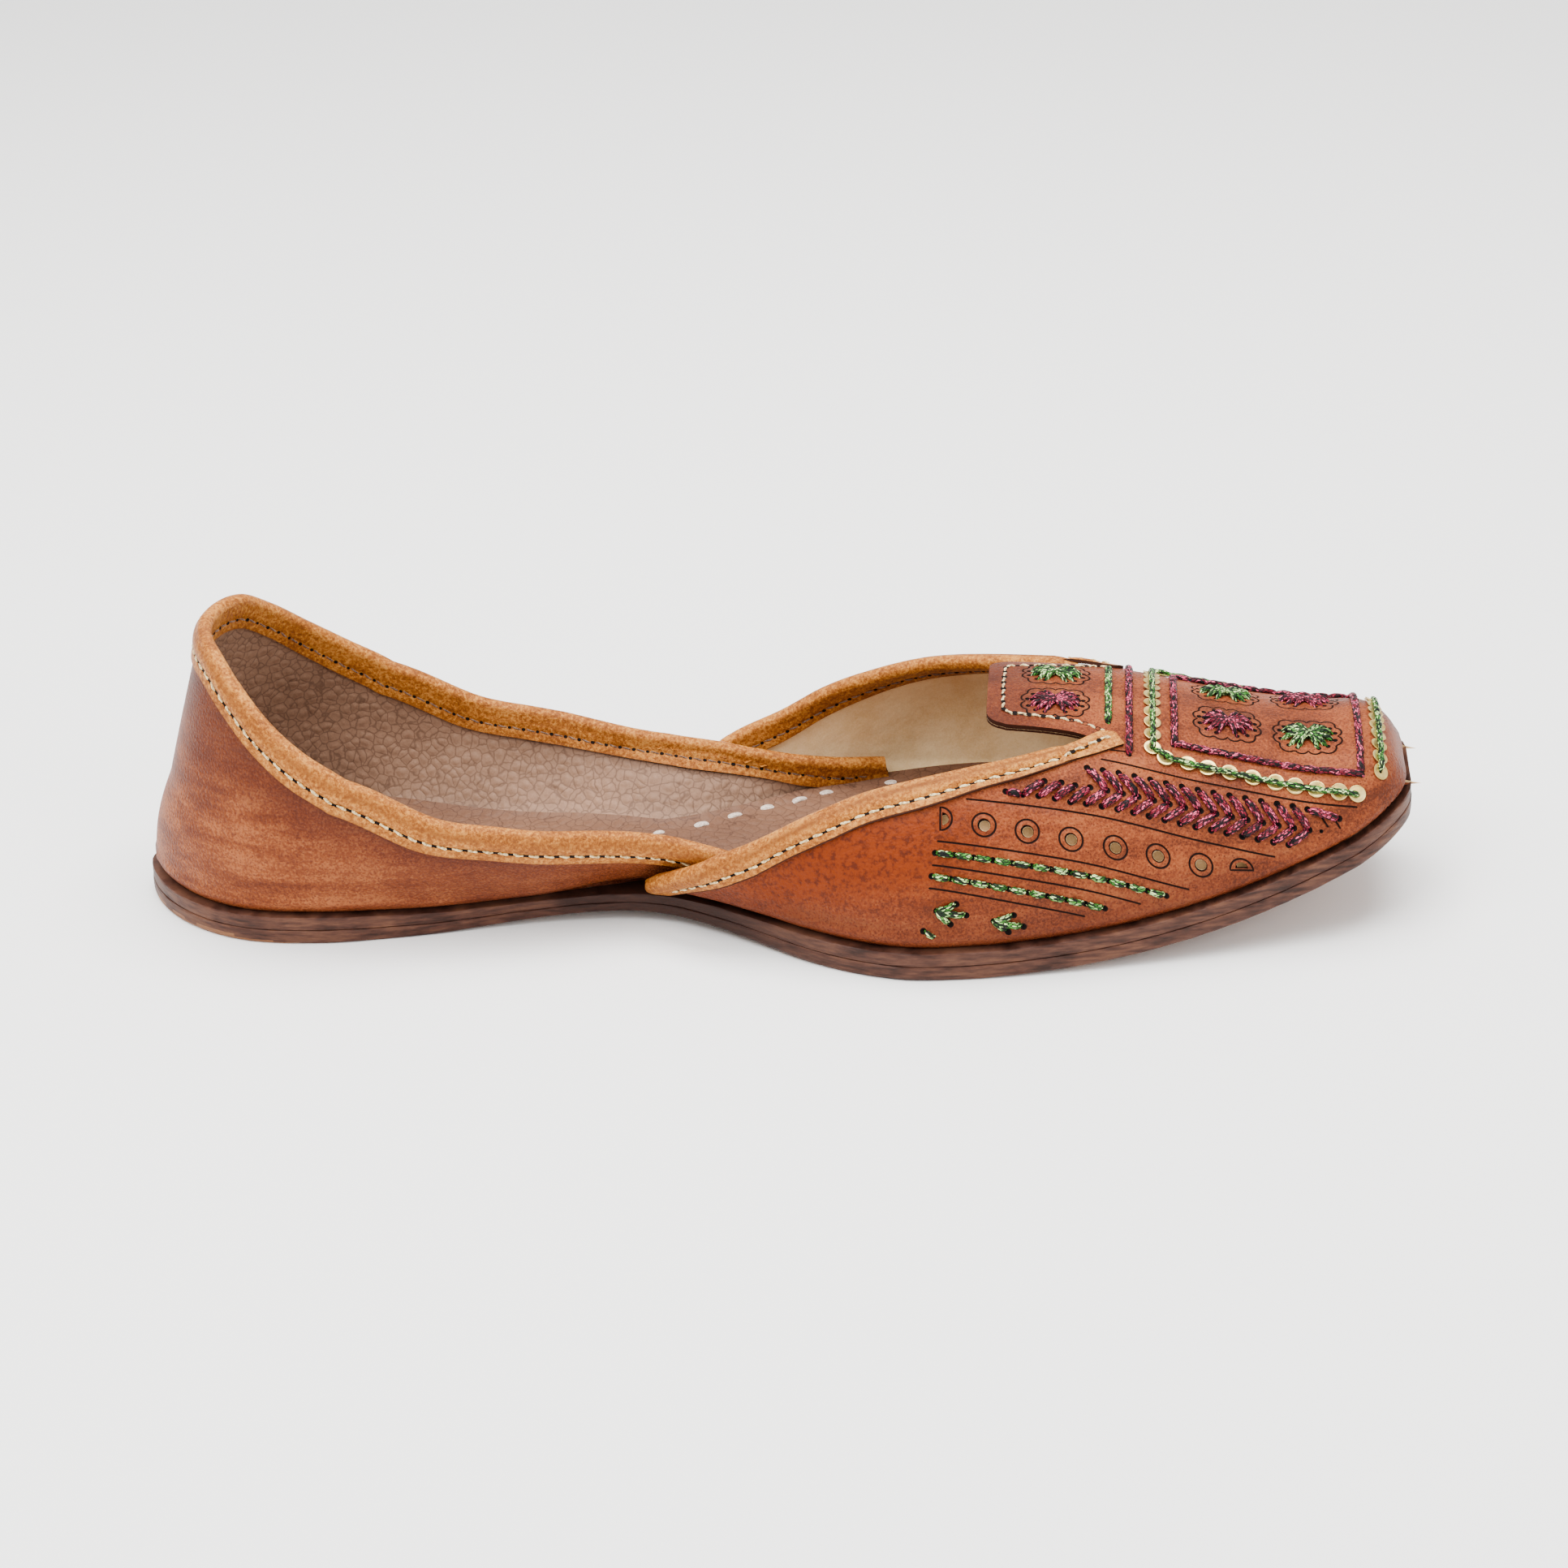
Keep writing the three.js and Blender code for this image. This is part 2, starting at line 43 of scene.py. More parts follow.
# Sizes of the last, the same as the CAD part's
size = {
    "length": 260, "ballWidth": 85.6, "toeSpring": 20.7, "archRise": 2.6, "archStart": 57, "archEnd": 152,
    "waistThinning": 0.35, "waistStart": 35, "waistEnd": 150, "springStart": 165, "springCurve": 2.4,
    "heelRound": 33, "heelPoint": 0.64, "heelFlat": 8, "toeRound": 13, "toeFlat": 16, "instepHeight": 38.5,
    "heelHeight": 53.8, "backLean": 15.2, "leanCurve": 1.1, "leanFade": 0.5, "flareCurve": 0.9,
    "sideBulge": 1.5, "heelBulge": 1.1, "heelBulgeReach": 0.4, "quarterEnd": 152, "wingStart": 107,
    "tuckRun": 24, "tuckBlend": 3, "flankCurve": 1.6, "throat": 196, "tongueLength": 20.5,
    "tongueWidth": 29, "tongueCorner": 4, "toeBoxRound": 9.5, "outsole": 3.0, "upperFoot": 6.0,
    "insole": 1.5, "soleMargin": 1.2, "wall": 1.6, "bindingWidth": 5.4, "tuckDepth": 4.4,
    "footTuck": 3.0, "footGap": 1.4,
}
upperEnd = size["length"] - size["soleMargin"]
ballHalf = size["ballWidth"] / 2

# Station as a share of the length, half-width as a share of the ball's
soleSections = np.array([
    (0.000, 0.640), (0.110, 0.642), (0.165, 0.640), (0.231, 0.568), (0.308, 0.467), (0.377, 0.428),
    (0.423, 0.458), (0.462, 0.561), (0.500, 0.694), (0.538, 0.832), (0.577, 0.939), (0.615, 1.000),
    (0.654, 0.995), (0.692, 0.967), (0.769, 0.883), (0.846, 0.771), (0.923, 0.631), (1.000, 0.467)])
# Station, belly, rise, crown, roundness
vampSections = np.array([
    (0.385, 1.690, 0.360, 0.700, 2.6), (0.442, 1.370, 0.320, 0.760, 2.6), (0.500, 1.070, 0.200, 0.860, 2.6),
    (0.538, 0.985, 0.100, 0.960, 2.5), (0.577, 0.978, 0.060, 1.010, 2.2), (0.654, 0.974, 0.050, 1.000, 2.4),
    (0.754, 0.972, 0.050, 0.940, 2.3), (0.846, 0.970, 0.050, 0.740, 2.1), (0.923, 0.966, 0.050, 0.510, 2.1),
    (1.000, 0.960, 0.050, 0.300, 2.2)])
wingTopline = np.array([
    (0.410, 0.067), (0.423, 0.128), (0.462, 0.305), (0.500, 0.435), (0.538, 0.589), (0.577, 0.708),
    (0.615, 0.782), (0.654, 0.825), (0.700, 0.850), (0.754, 0.868)])
# Turn round the heel (0 back, 1 side, 2 wing's end), half-width, height
quarterTopline = np.array([
    (0.00, 0.640, 1.000), (0.33, 0.648, 0.975), (0.50, 0.658, 0.888), (0.67, 0.673, 0.766),
    (0.83, 0.680, 0.660), (1.00, 0.685, 0.565), (1.18, 0.700, 0.426), (1.36, 0.682, 0.367),
    (1.54, 0.652, 0.299), (1.66, 0.630, 0.254), (1.78, 0.625, 0.196), (1.89, 0.705, 0.142),
    (2.00, 0.820, 0.102)])


# A smooth curve through one column of a table
def along(table, column, at):
    keys, values = table[:, 0], table[:, column]
    slopes = np.empty(len(keys))
    slopes[1:-1] = (values[2:] - values[:-2]) / (keys[2:] - keys[:-2])
    slopes[0] = (values[1] - values[0]) / (keys[1] - keys[0])
    slopes[-1] = (values[-1] - values[-2]) / (keys[-1] - keys[-2])
    at = np.asarray(at, float)
    i = np.clip(np.searchsorted(keys, at, side="left") - 1, 0, len(keys) - 2)
    span = keys[i + 1] - keys[i]
    t = np.clip((at - keys[i]) / span, 0, 1)
    rise = values[i + 1] - values[i]
    a = slopes[i] * span - rise
    b = rise - slopes[i + 1] * span
    return values[i] + rise * t + t * (1 - t) * (a * (1 - t) + b * t)


def blend(a, b, t):
    return a + (b - a) * t


def smooth(at, low, high):
    t = np.clip((at - low) / (high - low), 0, 1)
    return t * t * (3 - 2 * t)


def quarterCircle(t):
    return np.sqrt(np.maximum(0, 1 - t * t))


# Distance run along a line of points, at each point
def runAlong(line):
    return np.append(0, np.cumsum(np.linalg.norm(np.diff(line, axis=0), axis=1)))


def unit(vectors):
    return vectors / np.maximum(np.linalg.norm(vectors, axis=-1, keepdims=True), 1e-12)


# The sole's plan and underside
def soleTable(x):
    return ballHalf * along(soleSections, 1, x / size["length"])


def soleHalf(x, inset=0.0):
    heel = np.clip((size["heelRound"] - x) / (size["heelRound"] - inset), 0, 1)
    toe = quarterCircle(np.clip((x - size["length"] + size["toeRound"]) / (size["toeRound"] - inset), 0, 1))
    return blend(size["toeFlat"] / 2, (soleTable(x) - inset) * (1 - heel ** 2) ** size["heelPoint"], toe)


def soleBottom(x):
    run = np.maximum(0, (x - size["springStart"]) / (size["length"] - size["springStart"]))
    arch = np.clip((x - size["archStart"]) / (size["archEnd"] - size["archStart"]), 0, 1)
    return size["toeSpring"] * run ** size["springCurve"] + size["archRise"] * np.sin(np.pi * arch) ** 2


# The sole's layers are skived thinner towards the waist
def skiving(x):
    share = np.clip((x - size["waistStart"]) / (size["waistEnd"] - size["waistStart"]), 0, 1)
    return 1 - size["waistThinning"] * np.sin(np.pi * share) ** 2


def footOf(x):
    return soleBottom(x) + size["upperFoot"] * skiving(x)


# The vamp's outer face
def vampSection(x):
    share = x / size["length"]
    half = soleHalf(np.minimum(x, upperEnd), size["soleMargin"])
    drop = quarterCircle(np.clip((x - upperEnd + size["toeBoxRound"]) / size["toeBoxRound"], 0, 1))
    return {
        "foot": footOf(x), "footHalf": half,
        "belly": (half + size["soleMargin"]) * along(vampSections, 1, share),
        "rise": size["instepHeight"] * along(vampSections, 2, share) * drop,
        "crown": size["instepHeight"] * along(vampSections, 3, share) * drop,
        "full": along(vampSections, 4, share),
    }


def vampHalfAt(x, z):
    s = vampSection(x)
    h = z - s["foot"]
    low = blend(s["belly"], s["footHalf"], np.clip(1 - h / np.maximum(s["rise"], 1e-9), 0,
                                                   1) ** size["flankCurve"])
    t = np.clip((h - s["rise"]) / np.maximum(s["crown"] - s["rise"], 1e-9), 0, 1)
    high = s["belly"] * (1 - t ** s["full"]) ** (1 / s["full"])
    return np.where(h <= 0, s["footHalf"], np.where(h < s["rise"], low, high))


def insideVamp(x, z, depth):
    half = vampHalfAt(x, z)
    rise = (vampHalfAt(x, z + 0.5) - half) / 0.5
    run = (vampHalfAt(x + 0.5, z) - half) / 0.5
    return half - depth * np.sqrt(1 + rise * rise + run * run)


def wingTop(x):
    return footOf(x) + size["instepHeight"] * along(wingTopline, 1, x / size["length"])


# The quarter: turn from -2 (far wing's end) round the heel to 2 (near wing's end), up from foot to topline
def quarterSurface(turn, up):
    turn, up = np.broadcast_arrays(np.asarray(turn, float), np.asarray(up, float))
    side = np.where(turn < 0, 1.0, -1.0)
    turn = np.abs(turn)
    bend = np.minimum(turn, 1) * np.pi / 2
    sideShare = np.maximum(turn - 1, 0)
    margin, heelRound = size["soleMargin"], size["heelRound"]
    footX = np.where(turn <= 1, margin + (heelRound - margin) * (1 - np.cos(bend)),
                     blend(heelRound, size["quarterEnd"], sideShare))
    cupShare = np.minimum(1, up / size["heelBulgeReach"])
    cup = size["heelBulge"] * np.sin(np.pi * cupShare) * (1 - smooth(turn, 0, 1))
    lean = size["backLean"] * up ** size["leanCurve"] * (1 - smooth(sideShare, 0, size["leanFade"]))
    x = footX + lean - cup
    z = footOf(x) + up * size["heelHeight"] * along(quarterTopline, 2, turn)
    free = blend(soleTable(footX) - margin, ballHalf * along(quarterTopline, 1, turn),
                 up ** size["flareCurve"])
    free = free + size["sideBulge"] * np.sin(np.pi * up)
    depth = blend(size["footTuck"], size["tuckDepth"], smooth(up, 0, 0.5))
    tucked = insideVamp(np.maximum(x, size["wingStart"]), z, depth)
    overlap = smooth(x, size["wingStart"] - size["tuckRun"], size["wingStart"])
    softened = (free + tucked - np.hypot(free - tucked, size["tuckBlend"])) / 2
    point = 2 * blend(size["heelPoint"], 0.5, smooth(up, 0, size["heelBulgeReach"]))
    half = blend(free, softened, overlap) * np.sin(bend) ** point
    return np.stack([x, side * half, z], -1)


# One section of the vamp at x, from the ridge down to the foot: distance from the ridge, y and z
def sectionLine(x, crownSteps=160, flankSteps=24):
    s = {key: float(value) for key, value in vampSection(np.float64(x)).items()}
    turn = np.linspace(math.pi / 2, 0, crownSteps)
    y = s["belly"] * np.cos(turn) ** (2 / s["full"])
    z = s["foot"] + s["rise"] + (s["crown"] - s["rise"]) * np.sin(turn) ** (2 / s["full"])
    h = np.linspace(1, 0, flankSteps)[1:]
    y = np.append(y, blend(s["belly"], s["footHalf"], (1 - h) ** size["flankCurve"]))
    z = np.append(z, s["foot"] + s["rise"] * h)
    y[0] = 0
    return np.append(0, np.cumsum(np.hypot(np.diff(y), np.diff(z)))), y, z


# The vamp's chart: u runs along its ridge and v across from the ridge, both in mm on the leather
def makeChart(step=0.5, across=200):
    bend = upperEnd - size["toeBoxRound"]
    xs = np.append(np.arange(size["wingStart"] - 4, bend, 0.25),
                   upperEnd - size["toeBoxRound"] * (1 - np.sin(np.linspace(0, math.pi / 2, 120))))
    s = vampSection(xs)
    u = np.append(0, np.cumsum(np.hypot(np.diff(xs), np.diff(s["foot"] + s["crown"]))))
    made = {"u": np.linspace(0, u[-1], int(u[-1] / step) + 1)}
    made["x"] = np.interp(made["u"], u, xs)
    shares = np.linspace(0, 1, across)
    lines = [sectionLine(x) for x in made["x"]]
    made["reach"] = np.array([v[-1] for v, y, z in lines])
    made["y"] = np.array([np.interp(shares * v[-1], v, y) for v, y, z in lines])
    made["z"] = np.array([np.interp(shares * v[-1], v, z) for v, y, z in lines])
    return made


chart = makeChart()
print("vamp charted")


def uOf(x):
    return np.interp(x, chart["x"], chart["u"])


def reachAt(u):
    return np.interp(u, chart["u"], chart["reach"])


def onVamp(u, v):
    u = np.clip(np.asarray(u, float), 0, chart["u"][-1])
    v = np.asarray(v, float)
    i = np.clip(np.searchsorted(chart["u"], u, side="right") - 1, 0, len(chart["u"]) - 2)
    a = (u - chart["u"][i]) / (chart["u"][i + 1] - chart["u"][i])
    columns = chart["y"].shape[1] - 1
    share = np.clip(np.abs(v) / blend(chart["reach"][i], chart["reach"][i + 1], a), 0, 1) * columns
    j = np.minimum(share.astype(int), columns - 1)
    b = share - j
    y, z = [blend(blend(t[i, j], t[i, j + 1], b), blend(t[i + 1, j], t[i + 1, j + 1], b), a)
            for t in (chart["y"], chart["z"])]
    return np.stack([blend(chart["x"][i], chart["x"][i + 1], a), np.sign(v) * y, z], -1)


def vampNormal(u, v, step=0.6):
    return unit(np.cross(onVamp(u + step, v) - onVamp(u - step, v),
                         onVamp(u, v + step) - onVamp(u, v - step)))


def vAtHeight(x, z):
    v, y, zs = sectionLine(x)
    return float(np.interp(-z, -zs, v))


def vAtSide(x, y):
    v, ys, z = sectionLine(x)
    k = int(np.argmax(ys))
    return float(np.interp(abs(y), ys[:k + 1], v[:k + 1]))


def toScene(points):
    return (np.asarray(points, float) - [size["length"] / 2, 0, 0]) * mm


def addPiece(name, points, faces, materials, replaces=None, materialOf=None, sharp=40, attributes={},
             uv=None):
    mesh = bpy.data.meshes.new(name)
    mesh.from_pydata(toScene(points).tolist(), [], [list(map(int, f)) for f in faces])
    for material in materials:
        mesh.materials.append(material)
    if materialOf is not None:
        mesh.polygons.foreach_set("material_index", np.asarray(materialOf, np.int32))
    mesh.polygons.foreach_set("use_smooth", np.ones(len(mesh.polygons), bool))
    mesh.set_sharp_from_angle(angle=math.radians(sharp))
    for key, values in attributes.items():
        layer = mesh.attributes.new(key, "FLOAT", "POINT")
        layer.data.foreach_set("value", np.asarray(values, np.float32))
    if uv is not None:
        corners = np.empty(len(mesh.loops), np.int32)
        mesh.loops.foreach_get("vertex_index", corners)
        mesh.uv_layers.new(name="thread").data.foreach_set("uv", np.asarray(uv, np.float32)[corners].ravel())
    mesh.validate()
    mesh.update()
    piece = bpy.data.objects.new(name, mesh)
    bpy.context.scene.collection.objects.link(piece)
    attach(piece, "root")
    if replaces:
        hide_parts(replaces)
    return piece


def gridFaces(columns, rows):
    return [(i * rows + j, (i + 1) * rows + j, (i + 1) * rows + j + 1, i * rows + j + 1)
            for i in range(columns - 1) for j in range(rows - 1)]


def gridNormals(grid):
    return unit(np.cross(np.gradient(grid, axis=0), np.gradient(grid, axis=1)))


# Gives an open skin its other face and its cut edges. The kind of a face is 0 outside, 1 inside, 2 edge.
def shell(outer, inner, faces):
    count = len(outer)
    made = [tuple(f) for f in faces] + [tuple(k + count for k in reversed(f)) for f in faces]
    kinds = [0] * len(faces) + [1] * len(faces)
    border = {}
    for f in faces:
        for p, q in zip(f, f[1:] + f[:1]):
            if (q, p) in border:
                del border[(q, p)]
            else:
                border[(p, q)] = True
    for p, q in border:
        made.append((q, p, p + count, q + count))
        kinds.append(2)
    return np.vstack([outer, inner]), made, kinds


# A solid through closed rings, each counterclockwise seen from the toe
def loftRings(rings):
    count = len(rings[0])
    faces = [(i * count + j, i * count + (j + 1) % count, (i + 1) * count + (j + 1) % count,
              (i + 1) * count + j) for i in range(len(rings) - 1) for j in range(count)]
    faces.append(tuple(reversed(range(count))))
    faces.append(tuple((len(rings) - 1) * count + j for j in range(count)))
    return np.vstack(rings), faces


def linear(hexColor):
    channels = [int(hexColor[k:k + 2], 16) / 255 for k in (1, 3, 5)]
    return [c / 12.92 if c <= 0.04045 else ((c + 0.055) / 1.055) ** 2.4 for c in channels] + [1]


# Adds one node with its settings and links; a setting named by a number or a socket's name fills that input
def addNode(material, kind, settings={}, links={}):
    made = material.node_tree.nodes.new(kind)
    for key, value in settings.items():
        if key == "stops":
            ramp = made.color_ramp.elements
            while len(ramp) < len(value):
                ramp.new(0.5)
            for stop, (position, color) in zip(ramp, value):
                stop.position, stop.color = position, linear(color)
        elif isinstance(key, int) or key in made.inputs:
            made.inputs[key].default_value = linear(value) if isinstance(value, str) else value
        else:
            setattr(made, key, value)
    for key, source in links.items():
        socket = source if isinstance(source, bpy.types.NodeSocket) else source.outputs[0]
        material.node_tree.links.new(socket, made.inputs[key])
    return made


def newMaterial(name):
    material = bpy.data.materials.new(name)
    material.use_nodes = True
    material.node_tree.nodes.clear()
    return material


def perMm(featureSize):
    return 1000 / featureSize


def surface(material, settings, links):
    shader = addNode(material, "ShaderNodeBsdfPrincipled", settings, links)
    addNode(material, "ShaderNodeOutputMaterial", {}, {"Surface": shader})
    return material


# Full-grain cow leather, vegetable tanned and burnished by hand: warm mottled brown under a soft polish,
# broad brushed streaks, fine dark pores, and a darker tone set by the shade attribute: painted shade low at
# the foot where the leather rolls under, and darker bands elsewhere
def burnishedLeather(name, deep, middle, light, glowColor, shadeColor):
    m = newMaterial(name)
    place = addNode(m, "ShaderNodeTexCoord").outputs["Object"]
    cloud = addNode(m, "ShaderNodeTexNoise", {"Scale": perMm(17), "Detail": 6, "Roughness": 0.62},
                    {"Vector": place})
    stretch = addNode(m, "ShaderNodeMapping", {"Rotation": (0, 0.1, 0), "Scale": (0.16, 0.4, 1.3)},
                      {"Vector": place})
    brush = addNode(m, "ShaderNodeTexNoise", {"Scale": perMm(4.5), "Detail": 6, "Roughness": 0.66},
                    {"Vector": stretch})
    speck = addNode(m, "ShaderNodeTexNoise", {"Scale": perMm(0.55), "Detail": 3, "Roughness": 0.7},
                    {"Vector": place})
    clouded = addNode(m, "ShaderNodeMath", {"operation": "MULTIPLY", 1: 0.26}, {0: cloud})
    speckled = addNode(m, "ShaderNodeMath", {"operation": "MULTIPLY_ADD", 1: 0.38}, {0: speck, 2: clouded})
    brushed = addNode(m, "ShaderNodeMath", {"operation": "MULTIPLY_ADD", 1: 0.36}, {0: brush, 2: speckled})
    base = addNode(m, "ShaderNodeValToRGB",
                   {"stops": [(0.42, deep), (0.5, middle), (0.58, light)]}, {"Fac": brushed})
    pores = addNode(m, "ShaderNodeTexVoronoi", {"Scale": perMm(0.68), "Randomness": 1.0}, {"Vector": place})
    poreDark = addNode(m, "ShaderNodeMapRange",
                       {"interpolation_type": "SMOOTHSTEP", "From Min": 0.1, "From Max": 0.42, "To Min": 0.9,
                        "To Max": 0.0}, {"Value": pores})
    poreShare = addNode(m, "ShaderNodeMapRange", {"From Min": 0.38, "From Max": 0.6, "To Min": 0.15},
                        {"Value": speck})
    pored = addNode(m, "ShaderNodeMath", {"operation": "MULTIPLY"}, {0: poreDark, 1: poreShare})
    withPores = addNode(m, "ShaderNodeMix", {"data_type": "RGBA", 7: shadeColor}, {0: pored, 6: base})
    glow = addNode(m, "ShaderNodeAttribute", {"attribute_name": "glow"})
    spots = addNode(m, "ShaderNodeTexNoise", {"Scale": perMm(1.1), "Detail": 3, "Roughness": 0.6},
                    {"Vector": place})
    glowNoise = addNode(m, "ShaderNodeMapRange", {"From Min": 0.36, "From Max": 0.54, "To Min": 0.3},
                        {"Value": spots})
    glowTone = addNode(m, "ShaderNodeMix", {"data_type": "RGBA", 6: shadeColor, 7: glowColor}, {0: glowNoise})
    withGlow = addNode(m, "ShaderNodeMix", {"data_type": "RGBA"},
                       {0: glow.outputs["Fac"], 6: withPores.outputs[2], 7: glowTone.outputs[2]})
    # Painted shade: the shade attribute darkens the leather low at the foot; elsewhere it gives darker bands
    # of tone
    shade = addNode(m, "ShaderNodeAttribute", {"attribute_name": "shade"})
    uneven = addNode(m, "ShaderNodeMapRange", {"From Min": 0.35, "From Max": 0.65, "To Min": 0.4,
                                               "To Max": 1.2}, {"Value": brush})
    paintedShadeAndTone = addNode(m, "ShaderNodeMath", {"operation": "MULTIPLY", "use_clamp": True},
                     {0: shade.outputs["Fac"], 1: uneven})
    withShade = addNode(m, "ShaderNodeMix", {"data_type": "RGBA", 7: shadeColor},
                        {0: paintedShadeAndTone, 6: withGlow.outputs[2]})
    gloss = addNode(m, "ShaderNodeMapRange", {"To Min": 0.3, "To Max": 0.55}, {"Value": cloud})
    relief = addNode(m, "ShaderNodeMath", {"operation": "MULTIPLY_ADD", 1: 0.6}, {0: pores, 2: speck})
    bump = addNode(m, "ShaderNodeBump", {"Strength": 0.8, "Distance": 0.0003}, {"Height": relief})
    return surface(m, {"Coat Weight": 0.02, "Coat Roughness": 0.2, "Specular IOR Level": 0.08},
                   {"Base Color": withShade.outputs[2], "Roughness": gloss, "Normal": bump})


# A softer strap leather, skived thin and folded: golden tan with fine pull lines; its shade attribute darkens
# it with painted shade under the roll and inside the fold, and along the stitch line and at the cut edges
def strapLeather(name, deep, middle, light):
    m = newMaterial(name)
    place = addNode(m, "ShaderNodeTexCoord").outputs["Object"]
    cloud = addNode(m, "ShaderNodeTexNoise", {"Scale": perMm(9), "Detail": 6, "Roughness": 0.65},
                    {"Vector": place})
    speck = addNode(m, "ShaderNodeTexNoise", {"Scale": perMm(0.7), "Detail": 4, "Roughness": 0.75},
                    {"Vector": place})
    fine = addNode(m, "ShaderNodeMath", {"operation": "MULTIPLY", 1: 0.68}, {0: speck})
    tone = addNode(m, "ShaderNodeMath", {"operation": "MULTIPLY_ADD", 1: 0.32}, {0: cloud, 2: fine})
    base = addNode(m, "ShaderNodeValToRGB", {"stops": [(0.41, deep), (0.5, middle), (0.58, light)]},
                   {"Fac": tone})
    # Painted shade: the shade attribute darkens the strap under the roll and inside the fold, and darkens the
    # stitch line and the cut edges
    shade = addNode(m, "ShaderNodeAttribute", {"attribute_name": "shade"})
    uneven = addNode(m, "ShaderNodeMapRange", {"From Min": 0.35, "From Max": 0.65, "To Min": 0.3,
                                               "To Max": 1.3}, {"Value": cloud})
    paintedShadeAndTone = addNode(m, "ShaderNodeMath", {"operation": "MULTIPLY", "use_clamp": True},
                     {0: shade.outputs["Fac"], 1: uneven})
    wornAndShaded = addNode(m, "ShaderNodeMix", {"data_type": "RGBA", 7: deep}, {0: paintedShadeAndTone, 6: base})
    wrinkle = addNode(m, "ShaderNodeTexNoise", {"Scale": perMm(2.2), "Detail": 5, "Roughness": 0.7},
                      {"Vector": place})
    relief = addNode(m, "ShaderNodeMath", {"operation": "MULTIPLY_ADD", 1: 0.5}, {0: speck, 2: wrinkle})
    bump = addNode(m, "ShaderNodeBump", {"Strength": 0.8, "Distance": 0.0005}, {"Height": relief})
    return surface(m, {"Roughness": 0.4, "Specular IOR Level": 0.12},
                   {"Base Color": wornAndShaded.outputs[2], "Normal": bump})


# Corrected-grain lining leather with a pebbled print: low rounded cells with soft furrows between them
def pebbledLeather(name, furrow, middle, light, cell, depth, furrowWidth, furrowShare):
    m = newMaterial(name)
    place = addNode(m, "ShaderNodeTexCoord").outputs["Object"]
    warpNoise = addNode(m, "ShaderNodeTexNoise", {"Scale": perMm(4), "Detail": 3}, {"Vector": place})
    warp = addNode(m, "ShaderNodeVectorMath", {"operation": "SCALE", "Scale": 0.0022},
                   {0: warpNoise.outputs["Color"]})
    bent = addNode(m, "ShaderNodeVectorMath", {"operation": "ADD"}, {0: place, 1: warp})
    cells = addNode(m, "ShaderNodeTexVoronoi",
                    {"feature": "DISTANCE_TO_EDGE", "Scale": perMm(cell), "Randomness": 0.95},
                    {"Vector": bent})
    rounds = addNode(m, "ShaderNodeTexVoronoi",
                     {"feature": "SMOOTH_F1", "Scale": perMm(cell), "Smoothness": 0.35, "Randomness": 0.95},
                     {"Vector": bent})
    mound = addNode(m, "ShaderNodeMapRange", {"interpolation_type": "SMOOTHSTEP", "From Min": 0.05,
                                              "From Max": 0.62, "To Min": 1.0, "To Max": 0.0},
                    {"Value": rounds})
    line = addNode(m, "ShaderNodeMapRange", {"interpolation_type": "SMOOTHSTEP", "From Max": furrowWidth,
                                             "To Min": 1 - furrowShare}, {"Value": cells})
    speck = addNode(m, "ShaderNodeTexNoise", {"Scale": perMm(0.6), "Detail": 4, "Roughness": 0.7},
                    {"Vector": place})
    cloud = addNode(m, "ShaderNodeTexNoise", {"Scale": perMm(24), "Detail": 4}, {"Vector": place})
    clouded = addNode(m, "ShaderNodeMath", {"operation": "MULTIPLY", 1: 0.6}, {0: cloud})
    tone = addNode(m, "ShaderNodeMath", {"operation": "MULTIPLY_ADD", 1: 0.4}, {0: speck, 2: clouded})
    base = addNode(m, "ShaderNodeValToRGB", {"stops": [(0.38, middle), (0.62, light)]}, {"Fac": tone})
    colored = addNode(m, "ShaderNodeMix", {"data_type": "RGBA", 6: furrow}, {0: line, 7: base})
    relief = addNode(m, "ShaderNodeMath", {"operation": "MULTIPLY_ADD", 1: 0.25}, {0: speck, 2: mound})
    bump = addNode(m, "ShaderNodeBump", {"Strength": 0.6, "Distance": depth * mm}, {"Height": relief})
    return surface(m, {"Roughness": 0.6, "Specular IOR Level": 0.2},
                   {"Base Color": colored.outputs[2], "Normal": bump})


# Bark-tanned sole leather, its edge stained dark and rubbed: streaks run along the layers
def soleLeather(name, deep, middle, light):
    m = newMaterial(name)
    place = addNode(m, "ShaderNodeTexCoord").outputs["Object"]
    stretch = addNode(m, "ShaderNodeMapping", {"Scale": (0.15, 0.15, 1.0)}, {"Vector": place})
    streak = addNode(m, "ShaderNodeTexNoise", {"Scale": perMm(0.9), "Detail": 4, "Roughness": 0.6},
                     {"Vector": stretch})
    cloud = addNode(m, "ShaderNodeTexNoise", {"Scale": perMm(12), "Detail": 4}, {"Vector": place})
    clouded = addNode(m, "ShaderNodeMath", {"operation": "MULTIPLY", 1: 0.45}, {0: cloud})
    tone = addNode(m, "ShaderNodeMath", {"operation": "MULTIPLY_ADD", 1: 0.55}, {0: streak, 2: clouded})
    base = addNode(m, "ShaderNodeValToRGB", {"stops": [(0.4, deep), (0.5, middle), (0.62, light)]},
                   {"Fac": tone})
    # Painted shadow: the shade attribute mixes in the deep colour
    shade = addNode(m, "ShaderNodeAttribute", {"attribute_name": "shade"})
    paintedShadeAndTone = addNode(m, "ShaderNodeMix", {"data_type": "RGBA", 7: deep}, {0: shade.outputs["Fac"], 6: base})
    bump = addNode(m, "ShaderNodeBump", {"Strength": 0.7, "Distance": 0.0005}, {"Height": tone})
    return surface(m, {"Roughness": 0.5, "Specular IOR Level": 0.16},
                   {"Base Color": paintedShadeAndTone.outputs[2], "Normal": bump})


